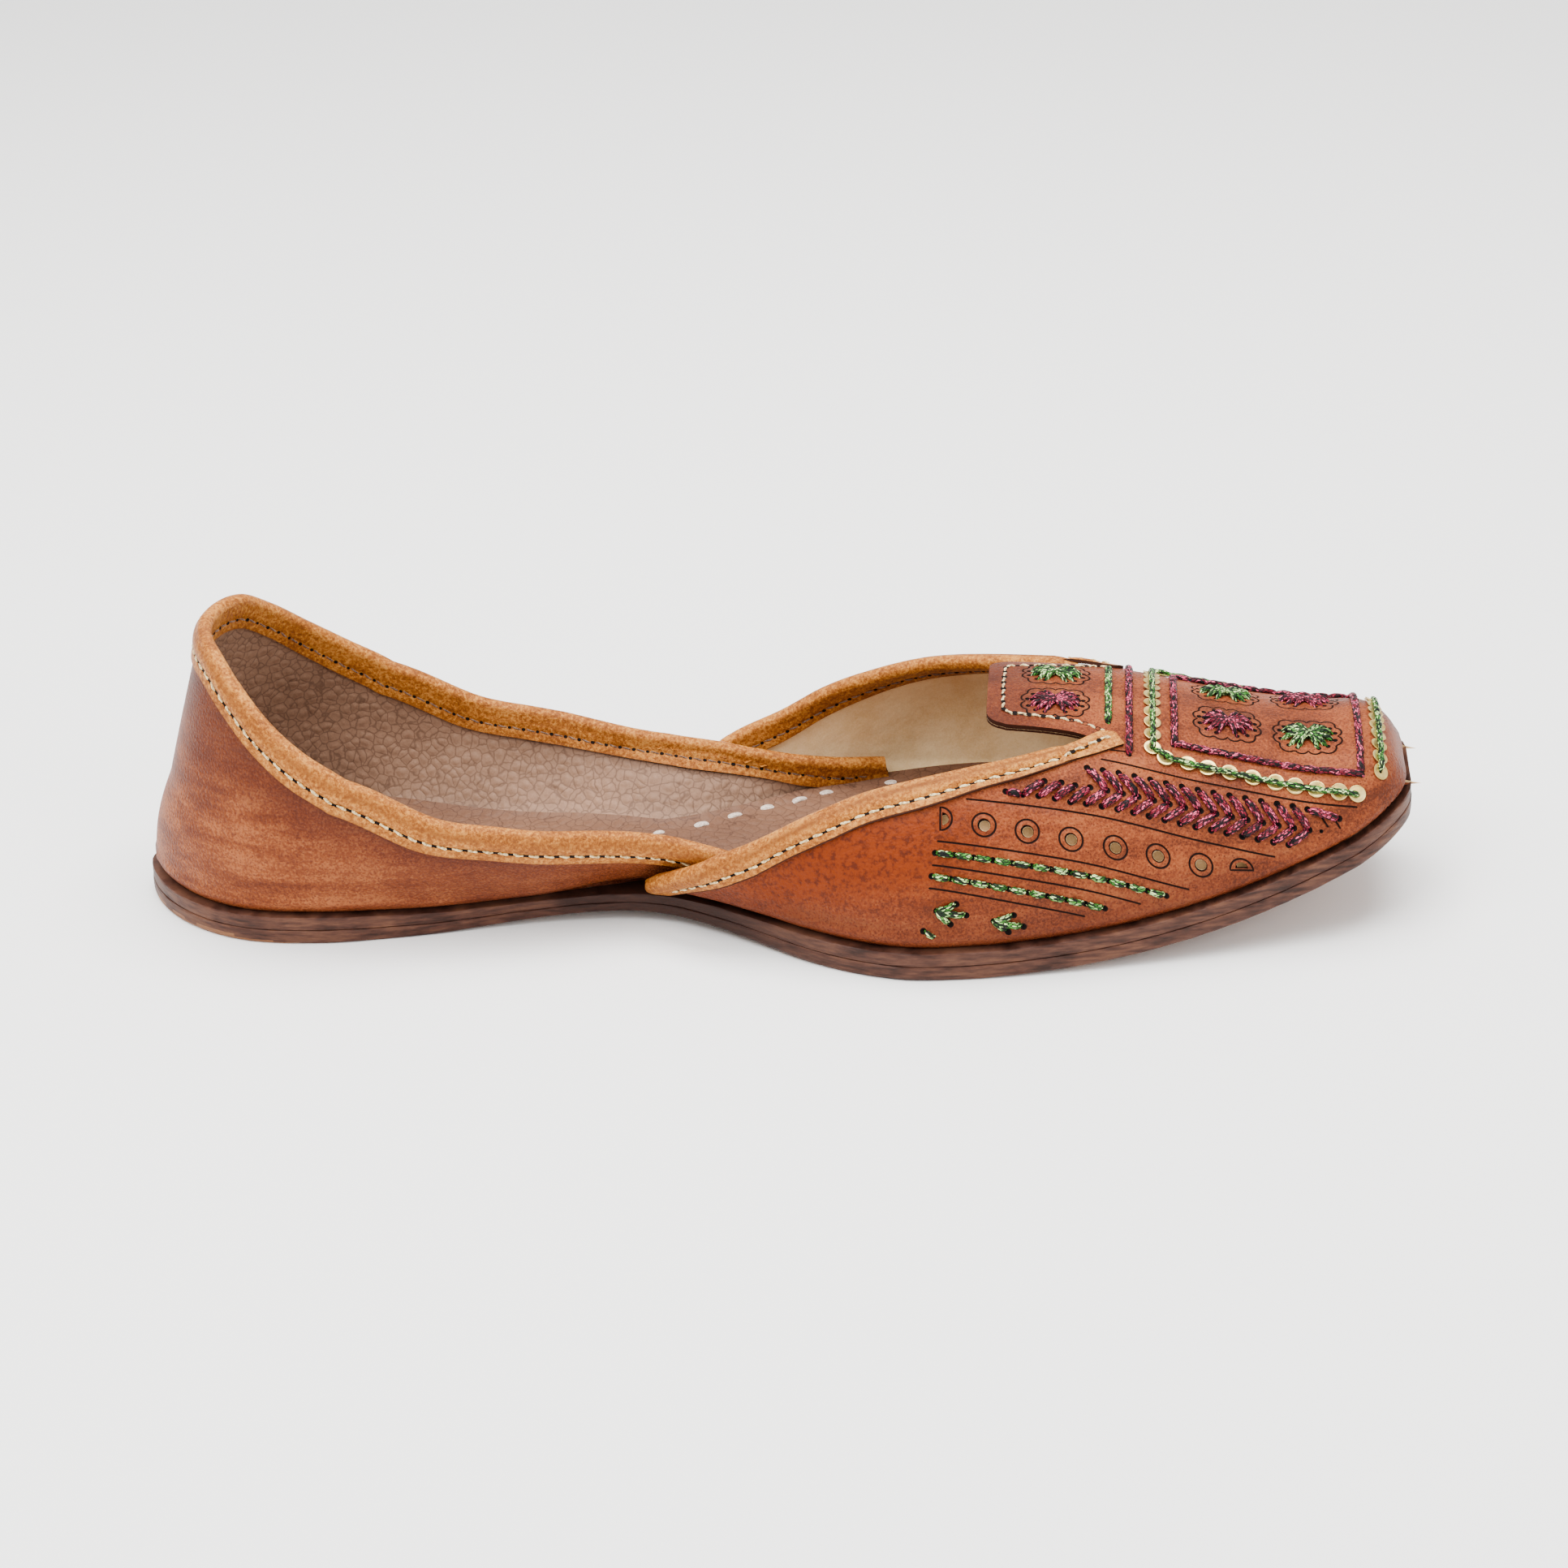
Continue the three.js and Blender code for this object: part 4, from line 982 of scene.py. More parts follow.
wingTall = reachAt(uOf(wingXs)) - np.interp(wingXs, edgeXs, edgeVs)
wingSlope = np.gradient(np.interp(wingXs, edgeXs, edgeVs), uOf(wingXs))
narrowing = 1 - 0.26 * smooth(wingXs, 160, 180) - 0.1 * smooth(wingXs, 180, 192)
wingLegs = np.minimum(size["bindingWidth"] * np.hypot(1, wingSlope) * narrowing,
                      wingTall - size["footGap"]) / wingTall
wingSlim = quarterCircle(1 - np.clip((wingXs - wingXs[0]) / 3.2, 0.004, 1)) * (1 - 0.5 * smooth(wingXs, 188,
                                                                                                193.4))
tabStitches = [(191.4, 23.2), (194.8, 20.9), (200.2, 17.1)]
for side, node in ((1, "vamp_binding_left"), (-1, "vamp_binding_right")):
    lines = addBinding(node, bindingGrid(wingAt(side), wingXs, wingLegs, -side, wingSlim), node, side > 0,
                       tab(side), wingSlim)
    if side > 0:
        lines = [(line[::-1], normal[::-1]) for line, normal in lines]
    kept = lines[0][0][:, 0] < tabStitches[0][0]
    flat = chartLine([(x, v * side) for x, v in tabStitches])
    lift = tabSettings["height"] + 0.1 * (1 - smooth(np.arange(len(flat)), 4, 16))
    line = np.vstack([lines[0][0][kept][18:],
                      onVamp(flat[:, 0], flat[:, 1]) + vampNormal(flat[:, 0], flat[:, 1]) * lift[:, None]])
    normal = np.vstack([lines[0][1][kept][18:], vampNormal(flat[:, 0], flat[:, 1])])
    stitchRow(bindingStitches, line, normal, stitchSettings["pitch"])
    stitchRow(innerStitches, lines[1][0][10:], lines[1][1][10:], stitchSettings["pitch"], 0.62)
print("quarter and bindings made")

insoleSettings = {"stations": 150, "across": 30, "curl": 0.9, "seamDepth": 0.22, "seamWidth": 0.45}


def besideQuarter(x):
    step = 0.01
    span = size["quarterEnd"] - size["heelRound"]
    turn = 1 + (x - size["heelRound"]) / span
    half = np.abs(quarterSurface(turn, 0.0)[..., 1])
    run = (half - np.abs(quarterSurface(turn - step, 0.0)[..., 1])) / (step * span)
    return half - (size["wall"] + 0.15) * np.hypot(1, run)


def insoleHalf(x):
    free = soleHalf(x, size["soleMargin"] + size["wall"] + 0.5)
    if x < size["heelRound"]:
        return float(free)
    if x < size["quarterEnd"]:
        return float(min(free, besideQuarter(x)))
    end = size["quarterEnd"]
    gap = soleHalf(end, size["soleMargin"] + size["wall"] + 0.5) - besideQuarter(end)
    return float(free - (1 - smooth(x, end + 2.8, end + size["tuckRun"])) * gap)


def insoleTop(x, y, half):
    edge = np.abs(y) / half
    seam = np.abs(np.abs(y) - lacingSeam(x))
    shown = smooth(x, 96, 104) * (1 - smooth(x, 158, 166))
    s = insoleSettings
    groove = s["seamDepth"] * np.exp(-(seam / s["seamWidth"]) ** 2) * shown
    return footOf(x) + size["insole"] + s["curl"] * edge ** 9 - groove


# Where the insole's two parts are laced together: half-width of the seam at x
def lacingSeam(x):
    return np.interp(x, [96, 100, 106, 114.8, 121.2, 127.7, 133.5, 139.2, 146, 153.3, 160],
                     [2.5, 4, 6.2, 9.5, 13.6, 17.8, 20.5, 25.4, 28.6, 30.9, 32])


margin = size["soleMargin"] + size["wall"] + 0.9
columns = []
for x in easedStations(margin, size["length"] - margin, insoleSettings["stations"]):
    half = max(insoleHalf(x), size["heelFlat"] / 2)
    y = np.sin(np.linspace(-math.pi / 2, math.pi / 2, insoleSettings["across"])) * half
    y = blend(y, np.linspace(-half, half, insoleSettings["across"]), 0.6)
    columns.append(np.stack([np.full_like(y, x), y, insoleTop(x, y, half)], -1))
grid = np.array(columns)
outer = grid.reshape(-1, 3)
inner = outer.copy()
inner[:, 2] = footOf(inner[:, 0]) + 0.05
points, made, kinds = shell(outer, inner, gridFaces(grid.shape[0], grid.shape[1]))
addPiece("insole", points, made, [insoleLeather], "insole")

lacingSettings = {"xs": [100.5, 106.2, 114.8, 121.4, 127.9, 134.4, 139.9, 153.3], "length": 2.3, "width": 1.7,
                  "thick": 1.0, "sides": 12, "lobes": 3, "lobeDepth": 0.05, "twist": 9.0}
laces = newBundle()
for side in (1, -1):
    for k, x in enumerate(lacingSettings["xs"]):
        share = np.linspace(-0.5, 0.5, 11)
        grown = 0.55 + 0.45 * min(1, k / 2)
        xs = x + share * lacingSettings["length"] * grown
        ys = side * (lacingSeam(xs) + 0.4 * random.uniform(-1, 1))
        rise = 0.42 * grown * np.cos(math.pi * share) ** 0.6 - 0.12
        line = np.stack([xs, ys, insoleTop(xs, ys, 60) + rise], -1)
        lace = dict(lacingSettings, width=lacingSettings["width"] * grown,
                    thick=lacingSettings["thick"] * grown)
        addStrand(laces, line, np.tile([0.0, 0, 1], (len(share), 1)), lace)
        for end in (0, -1):
            # At each end a disc of painted shadow shows the hole the lacing goes down into
            addRound(laces, line[end] + [0, 0, 0.2], np.array([0, 0, 1.0]), 0.75 * grown, 1, sides=10)
bundlePiece("lacing", laces, [lacing, lacingHoleShadow])
print("insole made")

vampSettings = {"leather": 1.0, "lining": 0.55, "spacing": 1.1, "grooveWidth": 0.42, "grooveDepth": 0.24,
                "pitRadius": 0.7, "pitDepth": 0.85}


def tongueEdge(x):
    run = np.clip((size["throat"] - x) / size["tongueLength"], 0, 1)
    throatY = float(vampHalfAt(size["throat"], wingTop(size["throat"])))
    return blend(throatY, size["tongueWidth"] / 2, np.sqrt(run))


def vampOutline():
    near = []
    xs = np.linspace(size["wingStart"], size["throat"], 110)
    near += [(float(uOf(x)), vAtHeight(x, float(wingTop(x)))) for x in xs]
    rear = size["throat"] - size["tongueLength"]
    corner = size["tongueCorner"]
    for x in np.linspace(size["throat"], rear + corner, 24)[1:]:
        near.append((float(uOf(x)), vAtSide(x, float(tongueEdge(x)))))
    for turn in np.linspace(0, math.pi / 2, 8)[1:]:
        x = rear + corner * (1 - math.sin(turn))
        y = size["tongueWidth"] / 2 - corner * (1 - math.cos(turn))
        near.append((float(uOf(x)), vAtSide(x, y)))
    tongueBack = [(near[-1][0], v) for v in np.linspace(near[-1][1], 0, 12)[1:]]
    foot = [(u, float(reachAt(u))) for u in np.linspace(chart["u"][-1], float(uOf(size["wingStart"])), 190)]
    toeEnd = [(foot[0][0], v) for v in np.linspace(0, foot[0][1], 8)[:-1]]
    half = toeEnd + foot + [(foot[-1][0], v) for v in np.linspace(foot[-1][1], near[0][1],
                                                                  3)[1:-1]] + near + tongueBack
    mirrored = [(u, -v) for u, v in reversed(half[1:-1])]
    return np.array(half + mirrored)


def insidePolygon(points, polygon):
    inside = np.zeros(len(points), bool)
    for (ax, ay), (bx, by) in zip(polygon, np.roll(polygon, -1, axis=0)):
        crosses = (ay > points[:, 1]) != (by > points[:, 1])
        if ay != by:
            inside ^= crosses & (points[:, 0] < (bx - ax) * (points[:, 1] - ay) / (by - ay) + ax)
    return inside


# Triangulates a sheet of leather in the chart. Grooves are lines scored into it, holes are outlines punched
# through it and pits are thread holes; each vertex comes back with its tag: 1 groove, 3 pit, 0 neither.
def cutSheet(outline, spacing, grooves=(), holes=(), pits=()):
    width, verts, tags, edges, busy = vampSettings["grooveWidth"], [], [], [], []

    def addLoop(line, closed, tag):
        start = len(verts)
        verts.extend(map(tuple, line))
        tags.extend([tag] * len(line))
        edges.extend((start + k, start + k + 1) for k in range(len(line) - 1))
        if closed:
            edges.append((start + len(line) - 1, start))
        busy.extend(map(tuple, line))

    addLoop(outline, True, 0)
    for line, closed in grooves:
        line = np.array(line, float)
        tangent = unit(np.roll(line, -1, 0) - np.roll(line, 1, 0)) if closed else unit(np.gradient(line,
                                                                                                   axis=0))
        sideways = np.stack([-tangent[:, 1], tangent[:, 0]], -1) * width / 2
        if closed:
            for shift in (sideways, -sideways):
                addLoop(line + shift, True, 0)
            addLoop(line, True, 1)
        else:
            start = line[0] - tangent[0] * width / 2
            end = line[-1] + tangent[-1] * width / 2
            addLoop(np.vstack([line + sideways, [end], (line - sideways)[::-1], [start]]), True, 0)
            addLoop(line, False, 1)
    for hole in holes:
        addLoop(hole, True, 0)
    for (u, v), radius in pits:
        turn = np.linspace(0, 2 * math.pi, 11, endpoint=False)
        addLoop(np.stack([u + radius * np.cos(turn), v + radius * np.sin(turn)], -1), True, 0)
        verts.append((u, v))
        tags.append(3)
        busy.append((u, v))
    cell = spacing * 0.42
    taken = set()
    for u, v in busy:
        i, j = round(u / cell), round(v / cell)
        taken.update((i + a, j + b) for a in (-1, 0, 1) for b in (-1, 0, 1))
    free = []
    low, high = outline.min(0), outline.max(0)
    for k, u in enumerate(np.arange(low[0], high[0], spacing * 0.9)):
        reach = float(reachAt(u))
        inner = np.arange(0.5 * (k % 2), reach / spacing - 5, 1) * spacing
        outerV = reach - np.arange(5.5, 0.2, -0.5) * spacing + 0.25 * spacing * (k % 2)
        for v in list(inner) + list(outerV[outerV > (inner[-1] if len(inner) else 0) + 0.4 * spacing]):
            for signed in ((v, -v) if v else (v,)):
                if (round(u / cell), round(signed / cell)) not in taken:
                    free.append((u, signed))
    free = np.array(free)
    free = free[insidePolygon(free, outline)]
    verts.extend(map(tuple, free))
    tags.extend([0] * len(free))
    out = delaunay_2d_cdt([Vector(p) for p in verts], edges, [], 0, 1e-5, True)
    flat = np.array([tuple(p) for p in out[0]])
    tagOf = np.array([max([tags[k] for k in origin], default=0) for origin in out[3]])
    triangles = np.array([tuple(f) for f in out[2] if len(f) == 3])
    a, b, c = flat[triangles[:, 0]], flat[triangles[:, 1]], flat[triangles[:, 2]]
    turnWay = (b[:, 0] - a[:, 0]) * (c[:, 1] - a[:, 1]) - (b[:, 1] - a[:, 1]) * (c[:, 0] - a[:, 0])
    triangles[turnWay < 0] = triangles[turnWay < 0][:, ::-1]
    faceTag = tagOf[triangles].max(1)
    middle = (a + b + c) / 3
    keep = insidePolygon(middle, outline) & (np.abs(turnWay) > 1e-9)
    for hole in holes:
        keep &= ~insidePolygon(middle, np.asarray(hole))
    triangles, faceTag = triangles[keep], faceTag[keep]
    used = np.unique(triangles)
    renumber = np.full(len(flat), -1)
    renumber[used] = np.arange(len(used))
    return flat[used], renumber[triangles], faceTag, tagOf[used]


# The vamp's pattern, in mm on the leather: x along the shoe and v from the ridge down the near side.
# Both sides carry it; a motif's colour swaps from one side to the other.
scoredLines = [[(198.3, 22.9), (248.3, 25.3)], [(172.1, 34.1), (232.1, 36.5)], [(166.5, 42.8), (215.3, 46.1)],
               [(165.5, 47.5), (205.8, 51.1)], [(164.8, 52.1), (194.9, 55.7)], [(199.9, 20.3), (203.1, 20.1)],
               [(241.2, 27.4), (242.6, 29.4)], [(244.2, 28.3), (245.0, 29.6)]]
ringCenters = [(175.5, 39.1), (183.9, 39.7), (192.4, 40.4), (201.0, 40.7), (209.3, 40.6), (217.7, 40.7)]
ringSettings = {"ring": 2.3, "hole": 1.3}
# Two rows of green dashes, each with its ends and its count, and two trefoils with their apex and tips
dashedRows = [((166.0, 45.1), (210.9, 48.3), 12), ((165.3, 49.7), (198.9, 53.4), 9)]
trefoils = [((166.2, 56.8), ((170.0, 55.2), (171.9, 57.4), (168.8, 59.5))),
            ((177.3, 58.3), ((181.1, 56.7), (183.0, 59.0), (180.0, 60.3)))]
# Single slanted stitches behind the chevrons
rearSlants = [((179.7, 32.0), (183.0, 32.4)), ((183.0, 32.4), (187.2, 29.1)), ((186.1, 32.4), (190.5, 29.1)),
              ((189.3, 32.6), (193.2, 29.4)), ((192.3, 33.0), (196.1, 29.5))]
chevronCount = 14
yarnPits, grooves, holes, strands = [], [], [], []
rowYarn = {"width": 1.35, "thick": 1.05, "sides": 10, "lobes": 3, "lobeDepth": 0.06, "twist": 2.2}
chevronYarn = dict(rowYarn, width=1.6, thick=1.2)
fanYarn = dict(rowYarn, width=1.15, thick=1.05, sides=8)
frameYarn = dict(rowYarn, width=1.45, thick=1.15)
coilYarn = dict(rowYarn, width=1.2, thick=1.05)


# One strand from hole to hole: it comes up out of the first and goes down into the second
def sew(color, start, end, yarn, lift=0.5, ramp=1.0, pitAt=(True, True), radius=None):
    length = math.dist(start, end)
    inset = [0.58 / length if wanted else 0 for wanted in pitAt]
    a = [blend(p, q, inset[0]) for p, q in zip(start, end)]
    b = [blend(q, p, inset[1]) for p, q in zip(start, end)]
    strands.append((color, [a, b], yarn, lift, ramp, 0, 0))
    for point, wanted in zip((start, end), pitAt):
        if wanted and all(math.dist(point, known) > 0.5 for known, reach in yarnPits[-80:]):
            yarnPits.append((point, radius or vampSettings["pitRadius"]))


# A long couched cord, pressed down a little at every pitch
def couch(color, points, yarn, pitch, dip, lift=0.55):
    strands.append((color, points, yarn, lift, 0.9, pitch, dip))


# A circle in the chart, or an arc with both its ends
def circleIn(center, radius, sides=36, low=0.0, sweep=2 * math.pi):
    turn = np.linspace(low, low + sweep, sides, endpoint=sweep < 2 * math.pi)
    return np.stack([float(uOf(center[0])) + radius * np.cos(turn), center[1] + radius * np.sin(turn)], -1)


def flip(points, side):
    return [(x, v * side) for x, v in points]


# The scalloped outline round a motif: the reach of a cluster of lobes in each direction
scallopLobes = [(0, 0, 2.9), (5.2, 1.4, 1.6), (5.2, -1.4, 1.6), (3.9, 3.6, 1.7), (3.9, -3.6, 1.7),
                (1.3, 4.1, 1.45), (1.3, -4.1, 1.45)]


def scallop(center, side):
    turn = np.linspace(0, 2 * math.pi, 96, endpoint=False)
    reach = np.full(len(turn), 0.1)
    for a, b, radius in scallopLobes + [(-a, b, r) for a, b, r in scallopLobes]:
        forward = a * np.cos(turn) + b * np.sin(turn)
        beside = a * np.sin(turn) - b * np.cos(turn)
        inside = radius ** 2 - beside ** 2
        reach = np.maximum(reach, np.where(inside > 0, forward + np.sqrt(np.maximum(inside, 0)), 0))
    return np.stack([float(uOf(center[0])) + reach * np.cos(turn), side * center[1] + reach * np.sin(turn)],
                    -1)


# Strands fan out from the middle of a motif to both ends
fanAngles = (-62, -39, -15, 9, 33, 56)
fanReach = (4.4, 5.1, 5.6, 5.6, 5.3, 4.7)


def fan(color, center, side):
    for way in (1, -1):
        for angle, reach in zip(fanAngles, fanReach):
            a = math.radians(angle + random.uniform(-3, 3)) * way
            end = (center[0] + way * reach * math.cos(a), side * center[1] + reach * math.sin(a) * way)
            start = (center[0] - way * 0.8 * math.cos(a), side * center[1] - 0.8 * math.sin(a) * way)
            sew(color, start, end, fanYarn, random.uniform(0.5, 0.85), 1.4, (False, True), 0.52)


for side in (-1, 1):
    for line in scoredLines:
        grooves.append((chartLine(flip(line, side), 1.0), False))
    for center in ringCenters:
        center = (center[0], center[1] * side)
        grooves.append((circleIn(center, ringSettings["ring"]), True))
        holes.append(circleIn(center, ringSettings["hole"], 26))
    footward = math.pi * (0.95 if side > 0 else 0.05)
    halfRings = (((167.0, 38.3), -math.pi / 2, (0.35, 0)), ((225.7, 40.3), footward, (0, -0.35)))
    for (x, v), low, shift in halfRings:
        arc = circleIn((x, v * side), ringSettings["ring"], 18, low, math.pi)
        flatSide = np.linspace(arc[-1], arc[0], 8)[1:-1]
        grooves.append((np.vstack([arc, flatSide]), True))
        arc = circleIn((x + shift[0], (v + shift[1]) * side), ringSettings["hole"], 12, low, math.pi)
        holes.append(np.vstack([arc, np.linspace(arc[-1], arc[0], 5)[1:-1]]))
    for start, end, count in dashedRows:
        ends = [(blend(start[0], end[0], k / count), side * blend(start[1], end[1], k / count))
                for k in range(count + 1)]
        for a, b in zip(ends, ends[1:]):
            sew("green", a, b, rowYarn, 0.45, 0.8, radius=0.66)
    for apex, tips in trefoils:
        for k, tip in enumerate(tips):
            sew("green", (apex[0], apex[1] * side), (tip[0], tip[1] * side), rowYarn, 0.5 + 0.15 * (k == 1),
                0.9, (k == 0, True))
    sew("green", (163.5, 61.0 * side), (165.7, 62.4 * side), dict(rowYarn, width=1.15), 0.4, 0.8,
        (True, False))
    for start, end in rearSlants:
        sew("magenta", (start[0], start[1] * side), (end[0], end[1] * side), chevronYarn)
    for k in range(chevronCount):
        share = k / (chevronCount - 1)
        apex = (blend(199.4, 238.9, share), blend(29.6, 30.3, share))
        high = (apex[0] - blend(3.9, 3.2, share), apex[1] - 4.3)
        low = (apex[0] - 4.05, apex[1] + 3.4)
        sew("magenta", (high[0], high[1] * side), (apex[0], apex[1] * side), chevronYarn, 0.5)
        sew("magenta", (low[0], low[1] * side), (apex[0] - 0.5, (apex[1] + 0.35) * side), chevronYarn, 0.42,
            1.0, (True, False))
    sew("magenta", (238.6, 26.3 * side), (244.8, 27.7 * side), chevronYarn)
    yarnPits.append(((241.3, 30.4 * side), 0.42))
    couch("magenta", flip([(212.5, 15.9), (249.7, 18.5)], side), frameYarn, 3.6, 0.45)
    near, far = ("magenta", "green") if side < 0 else ("green", "magenta")
    for color, center in ((near, (223.2, 7.0)), (far, (239.1, 8.0)), (near, (189.1, 6.6))):
        grooves.append((scallop(center, side), True))
        fan(color, center, side)
    couch("green", flip([(208.6, 18.4), (211.4, 20.1), (215.2, 20.6), (248.6, 22.8)], side), coilYarn, 4.3,
          0.35, 0.95)
couch("green", [(199.6, -12.5), (199.6, 12.5)], frameYarn, 3.2, 0.4)
couch("magenta", [(203.7, -20.4), (203.7, 20.4)], frameYarn, 3.4, 0.4)
couch("magenta", [(212.6, -15.9), (212.6, 15.9)], frameYarn, 3.4, 0.4)
couch("magenta", [(249.2, -18.3), (249.2, 18.3)], frameYarn, 3.4, 0.4)
couch("green", [(208.3, -18.4), (208.3, 18.4)], coilYarn, 3.6, 0.35, 0.95)
couch("green", [(253.0, -16.4), (253.0, 16.4)], coilYarn, 3.6, 0.35, 0.95)
for x, v in ((199.6, 12.7), (203.7, 20.6), (212.5, 16.0), (249.4, 18.6), (253.0, 16.6)):
    yarnPits += [((x, v * side), 0.62) for side in (-1, 1)]

outline = vampOutline()


# Hand-finished leather is never quite even: low swells of a tenth of a millimetre
def swell(points):
    x, y = points[:, 0], points[:, 1]
    waves = np.sin(x * 0.21 + y * 0.13) + np.sin(x * 0.11 - y * 0.27 + 1.3) * 0.8
    return 0.09 * (waves + np.sin(y * 0.36 + x * 0.05) * 0.5)


def addVamp(name, depth, thickness, sheet, materials, node, attributes=None):
    flat, triangles, faceTag, tagOf = sheet
    face = onVamp(flat[:, 0], flat[:, 1])
    normal = vampNormal(flat[:, 0], flat[:, 1])
    above = face[:, 2] - footOf(face[:, 0])
    low = smooth(above, 0, 2.5)
    inward = unit(normal * np.stack([np.ones(len(flat)), np.ones(len(flat)), low], -1))
    sideways = unit(normal * [1, 1, 0])
    sunk = np.select([tagOf == 1, tagOf == 3], [vampSettings["grooveDepth"], vampSettings["pitDepth"]], 0)
    sunk = sunk * (1 if node else 0.3)
    free = smooth(reachAt(flat[:, 0]) - np.abs(flat[:, 1]), 2, 8)
    face = face + normal * (swell(face) * free)[:, None]
    roll = footRoll(above, face[:, 0])
    tuck = sideways * np.minimum(0, roll)[:, None]
    outer = face - inward * depth - normal * sunk[:, None] + (sideways * roll[:, None] if node else tuck)
    inner = face - inward * (depth + thickness) + tuck
    points, made, kinds = shell(outer, inner, [tuple(map(int, t)) for t in triangles])
    # Faces on a groove take the third material and faces round a pit the fourth: on the vamp, scored lines
    # and painted shade in the thread holes; on the lining, painted shadow rings and discs where it shows
    # through the punched holes
    materialOf = np.zeros(len(made), int)
    materialOf[np.array(kinds) == 2] = 1
    materialOf[:len(triangles)] = np.select([faceTag == 1, faceTag == 3], [2, 3],
                                            0) if len(materials) > 2 else 0
    extra = {key: np.tile(values, 2) for key, values in (attributes(flat, face) if attributes
                                                         else {}).items()}
    addPiece(name, points, made, materials, node, materialOf, attributes=extra, sharp=50)


# glow marks the orange burnished zone along the flank. shade darkens the leather down the flank towards the
# foot, painted shade where it rolls under into the gap, darkens the toe's tip, and gives the tongue its
# darker tone
def vampTones(flat, face):
    x, v = face[:, 0], np.abs(flat[:, 1])
    reach = reachAt(flat[:, 0])
    beyondLength = np.maximum(0, np.abs(x - 150) - 9) / 20
    beyondWidth = np.maximum(0, np.abs(v - 44) - 3) / 8.5
    glow = np.exp(-beyondLength ** 2 - beyondWidth ** 2)
    foot = 1 - smooth(reach - v, 1, 12)
    toeEdge = smooth(x, 248, 259)
    tongue = 1 - smooth(x, 176, 196)
    tongue = 0.75 * np.where(v < 17, tongue, 0)
    shade = 0.62 * foot * (1 - 0.75 * smooth(x, 215, 245)) + 0.3 * toeEdge + tongue
    return {"glow": np.clip(glow, 0, 1), "shade": np.clip(shade, 0, 1)}


pits = [((float(uOf(x)), v), radius) for (x, v), radius in yarnPits]
sheet = cutSheet(outline, vampSettings["spacing"], grooves, holes, pits)
print("vamp sheet cut:", len(sheet[0]), "points")
addVamp("vamp", 0, vampSettings["leather"], sheet, [vampLeather, cutEdge, scoredAndRimShadow, holeShadow],
        "vamp", vampTones)
# Through each hole the lining shows, with painted shadow under the leather's upper rim: dark rings at the
# hole's edge and a darker suede disc inside
behind = [(x + 0.25, (v + 0.05) * side) for x, v in ringCenters + [(167.8, 38.3), (225.7, 39.3)]
          for side in (-1, 1)]
rims = [(circleIn(place, ringSettings["hole"] + beyond), True) for place in behind for beyond in (0, 0.4)]
glimpses = [((float(uOf(x)), v), ringSettings["hole"] - 0.24) for x, v in behind]
sheet = cutSheet(outline, 2.2, rims, (), glimpses)
addVamp("vamp_lining", vampSettings["leather"] + 0.05, vampSettings["lining"], sheet,
        [vampLining, cutEdge, scoredAndRimShadow, shadedSuede], None)
print("vamp made")

bundles = {"green": newBundle(), "magenta": newBundle()}
for color, points, yarn, lift, ramp, pitch, dip in strands:
    line = chartLine(points, 0.3)
    run = runAlong(line)
    fromEnd = np.minimum(run, run[-1] - run)
    low = -0.6
    height = low + (lift - low) * np.sin(math.pi / 2 * np.clip(fromEnd / ramp, 0, 1)) ** 0.8
    if pitch:
        beat = np.abs(np.sin(math.pi * run / pitch)) ** 0.6
        wander = 0.12 * unevenness(run * 4, lift)
        across = unit(np.gradient(line, axis=0))[:, ::-1] * [-1, 1]
        line = line + across * wander[:, None]
        height = height - dip * (1 - beat) * (height > 0)
    normal = vampNormal(line[:, 0], line[:, 1])
    addStrand(bundles[color], onVamp(line[:, 0], line[:, 1]) + normal * height[:, None], normal, yarn)
bundlePiece("yarn_green", bundles["green"], [greenYarn])
bundlePiece("yarn_magenta", bundles["magenta"], [magentaYarn])

sequinSettings = {"radius": 1.72, "thickness": 0.14, "bore": 0.4, "tilt": 0.1}
crossRows = {208.3: (0, 3.6, 7.2, 10.8, 14.4, 18.0), 253.0: (0, 3.3, 6.6, 9.9, 13.2, 16.6)}
sequinPlaces = [(x, v) for x, row in crossRows.items() for v in row + tuple(-v for v in row[1:])]
for side in (1, -1):
    sequinPlaces += [(x, side * blend(20.0, 22.7, (x - 210.8) / 37.5))
                     for x in (210.8, 215.2, 219.1, 223.4, 227.9, 232.4, 236.2, 240.4, 244.8, 248.3)]
sequins = newBundle()
for x, v in sequinPlaces:
    u = float(uOf(x))
    normal = vampNormal(u, v) + np.array([random.uniform(-1, 1) for _ in range(3)]) * sequinSettings["tilt"]
    addRound(sequins, onVamp(u, v) + vampNormal(u, v) * 0.26, normal, sequinSettings["radius"], 0,
             sequinSettings["thickness"], sequinSettings["bore"], 28)
bundlePiece("sequins", sequins, [sequinBrass])

tongueSeam = [(200.2, 16.2), (194, 13.4), (181.4, 11.4), (179.6, 11.0), (178.8, 9.8), (178.6, 0)]
tongueStitches = chartLine(tongueSeam + flip(tongueSeam[-2::-1], -1), 0.4)
stitchRow(bindingStitches, onVamp(tongueStitches[:, 0], tongueStitches[:, 1]),
          vampNormal(tongueStitches[:, 0], tongueStitches[:, 1]), 2.9, 0.95)
bundlePiece("binding_stitches", bindingStitches, [creamThread, holeShadow])
bundlePiece("inner_stitches", innerStitches, [darkThread, holeShadow])
print("embroidery and stitches made")

cameraSettings = {"elevation": 26, "yaw": 5.5, "roll": -2.6, "distance": 0.8, "target": (0.0034, 0, 0.0224),
                  "lens": 89.74}


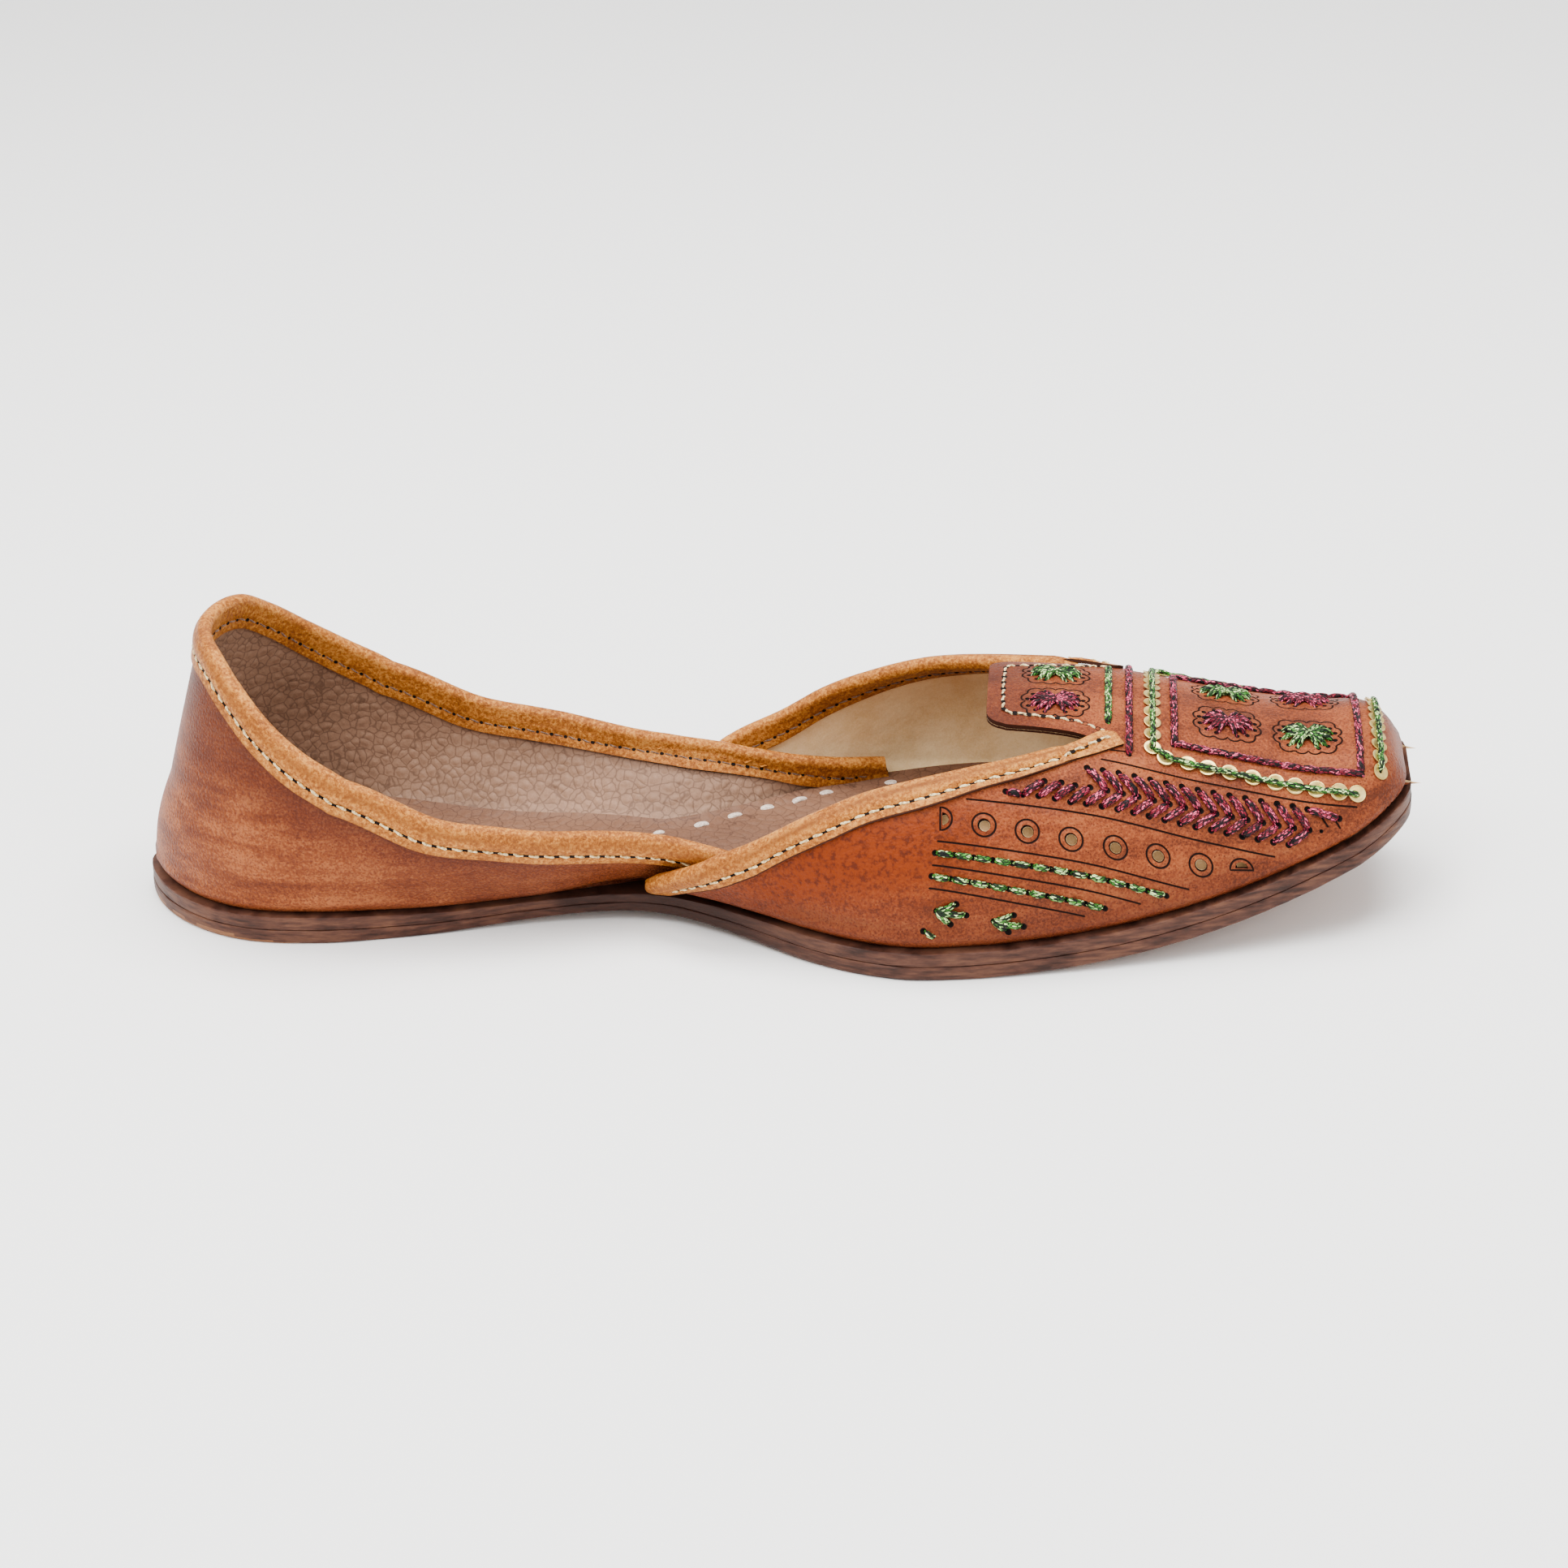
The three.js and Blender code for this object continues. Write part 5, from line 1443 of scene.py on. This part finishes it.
def placeCamera():
    s = cameraSettings
    tilt, yaw, roll = (math.radians(s[key]) for key in ("elevation", "yaw", "roll"))
    back = Vector((math.sin(yaw) * math.cos(tilt), -math.cos(yaw) * math.cos(tilt), math.sin(tilt)))
    level = Vector((math.cos(yaw), math.sin(yaw), 0))
    upright = back.cross(level)
    right = level * math.cos(roll) + upright * math.sin(roll)
    up = upright * math.cos(roll) - level * math.sin(roll)
    camera = bpy.data.objects.new("camera", bpy.data.cameras.new("camera"))
    camera.data.lens = s["lens"]
    camera.data.sensor_width = 36
    turned = Matrix((right, up, back)).transposed().to_4x4()
    camera.matrix_world = Matrix.Translation(Vector(s["target"]) + back * s["distance"]) @ turned
    bpy.context.scene.collection.objects.link(camera)
    bpy.context.scene.camera = camera


def addLight(name, place, aim, width, power):
    light = bpy.data.objects.new(name, bpy.data.lights.new(name, "AREA"))
    light.data.shape = "RECTANGLE"
    light.data.size, light.data.size_y = width
    light.data.energy = power
    light.location = place
    light.rotation_euler = (Vector(aim) - Vector(place)).to_track_quat("-Z", "Y").to_euler()
    bpy.context.scene.collection.objects.link(light)


floorMesh = bpy.data.meshes.new("floor")
floorMesh.from_pydata([(-3, -3, 0), (3, -3, 0), (3, 3, 0), (-3, 3, 0)], [], [(0, 1, 2, 3)])
floor = bpy.data.objects.new("floor", floorMesh)
bpy.context.scene.collection.objects.link(floor)
pale = newMaterial("pale_floor")
surface(pale, {"Base Color": "#f6f5f3", "Roughness": 0.9}, {})
floorMesh.materials.append(pale)

world = bpy.data.worlds.new("studio")
world.use_nodes = True
world.node_tree.nodes["Background"].inputs["Color"].default_value = (1, 1, 1, 1)
world.node_tree.nodes["Background"].inputs["Strength"].default_value = 1.15
bpy.context.scene.world = world
addLight("key", (-0.35, -0.4, 0.85), (0, 0, 0.02), (0.6, 0.6), 12)
addLight("fill", (0.7, -0.6, 0.5), (0, 0, 0.02), (0.7, 0.5), 3.5)
addLight("top", (0.05, 0.12, 0.95), (0, 0, 0.02), (0.9, 0.5), 20)
placeCamera()
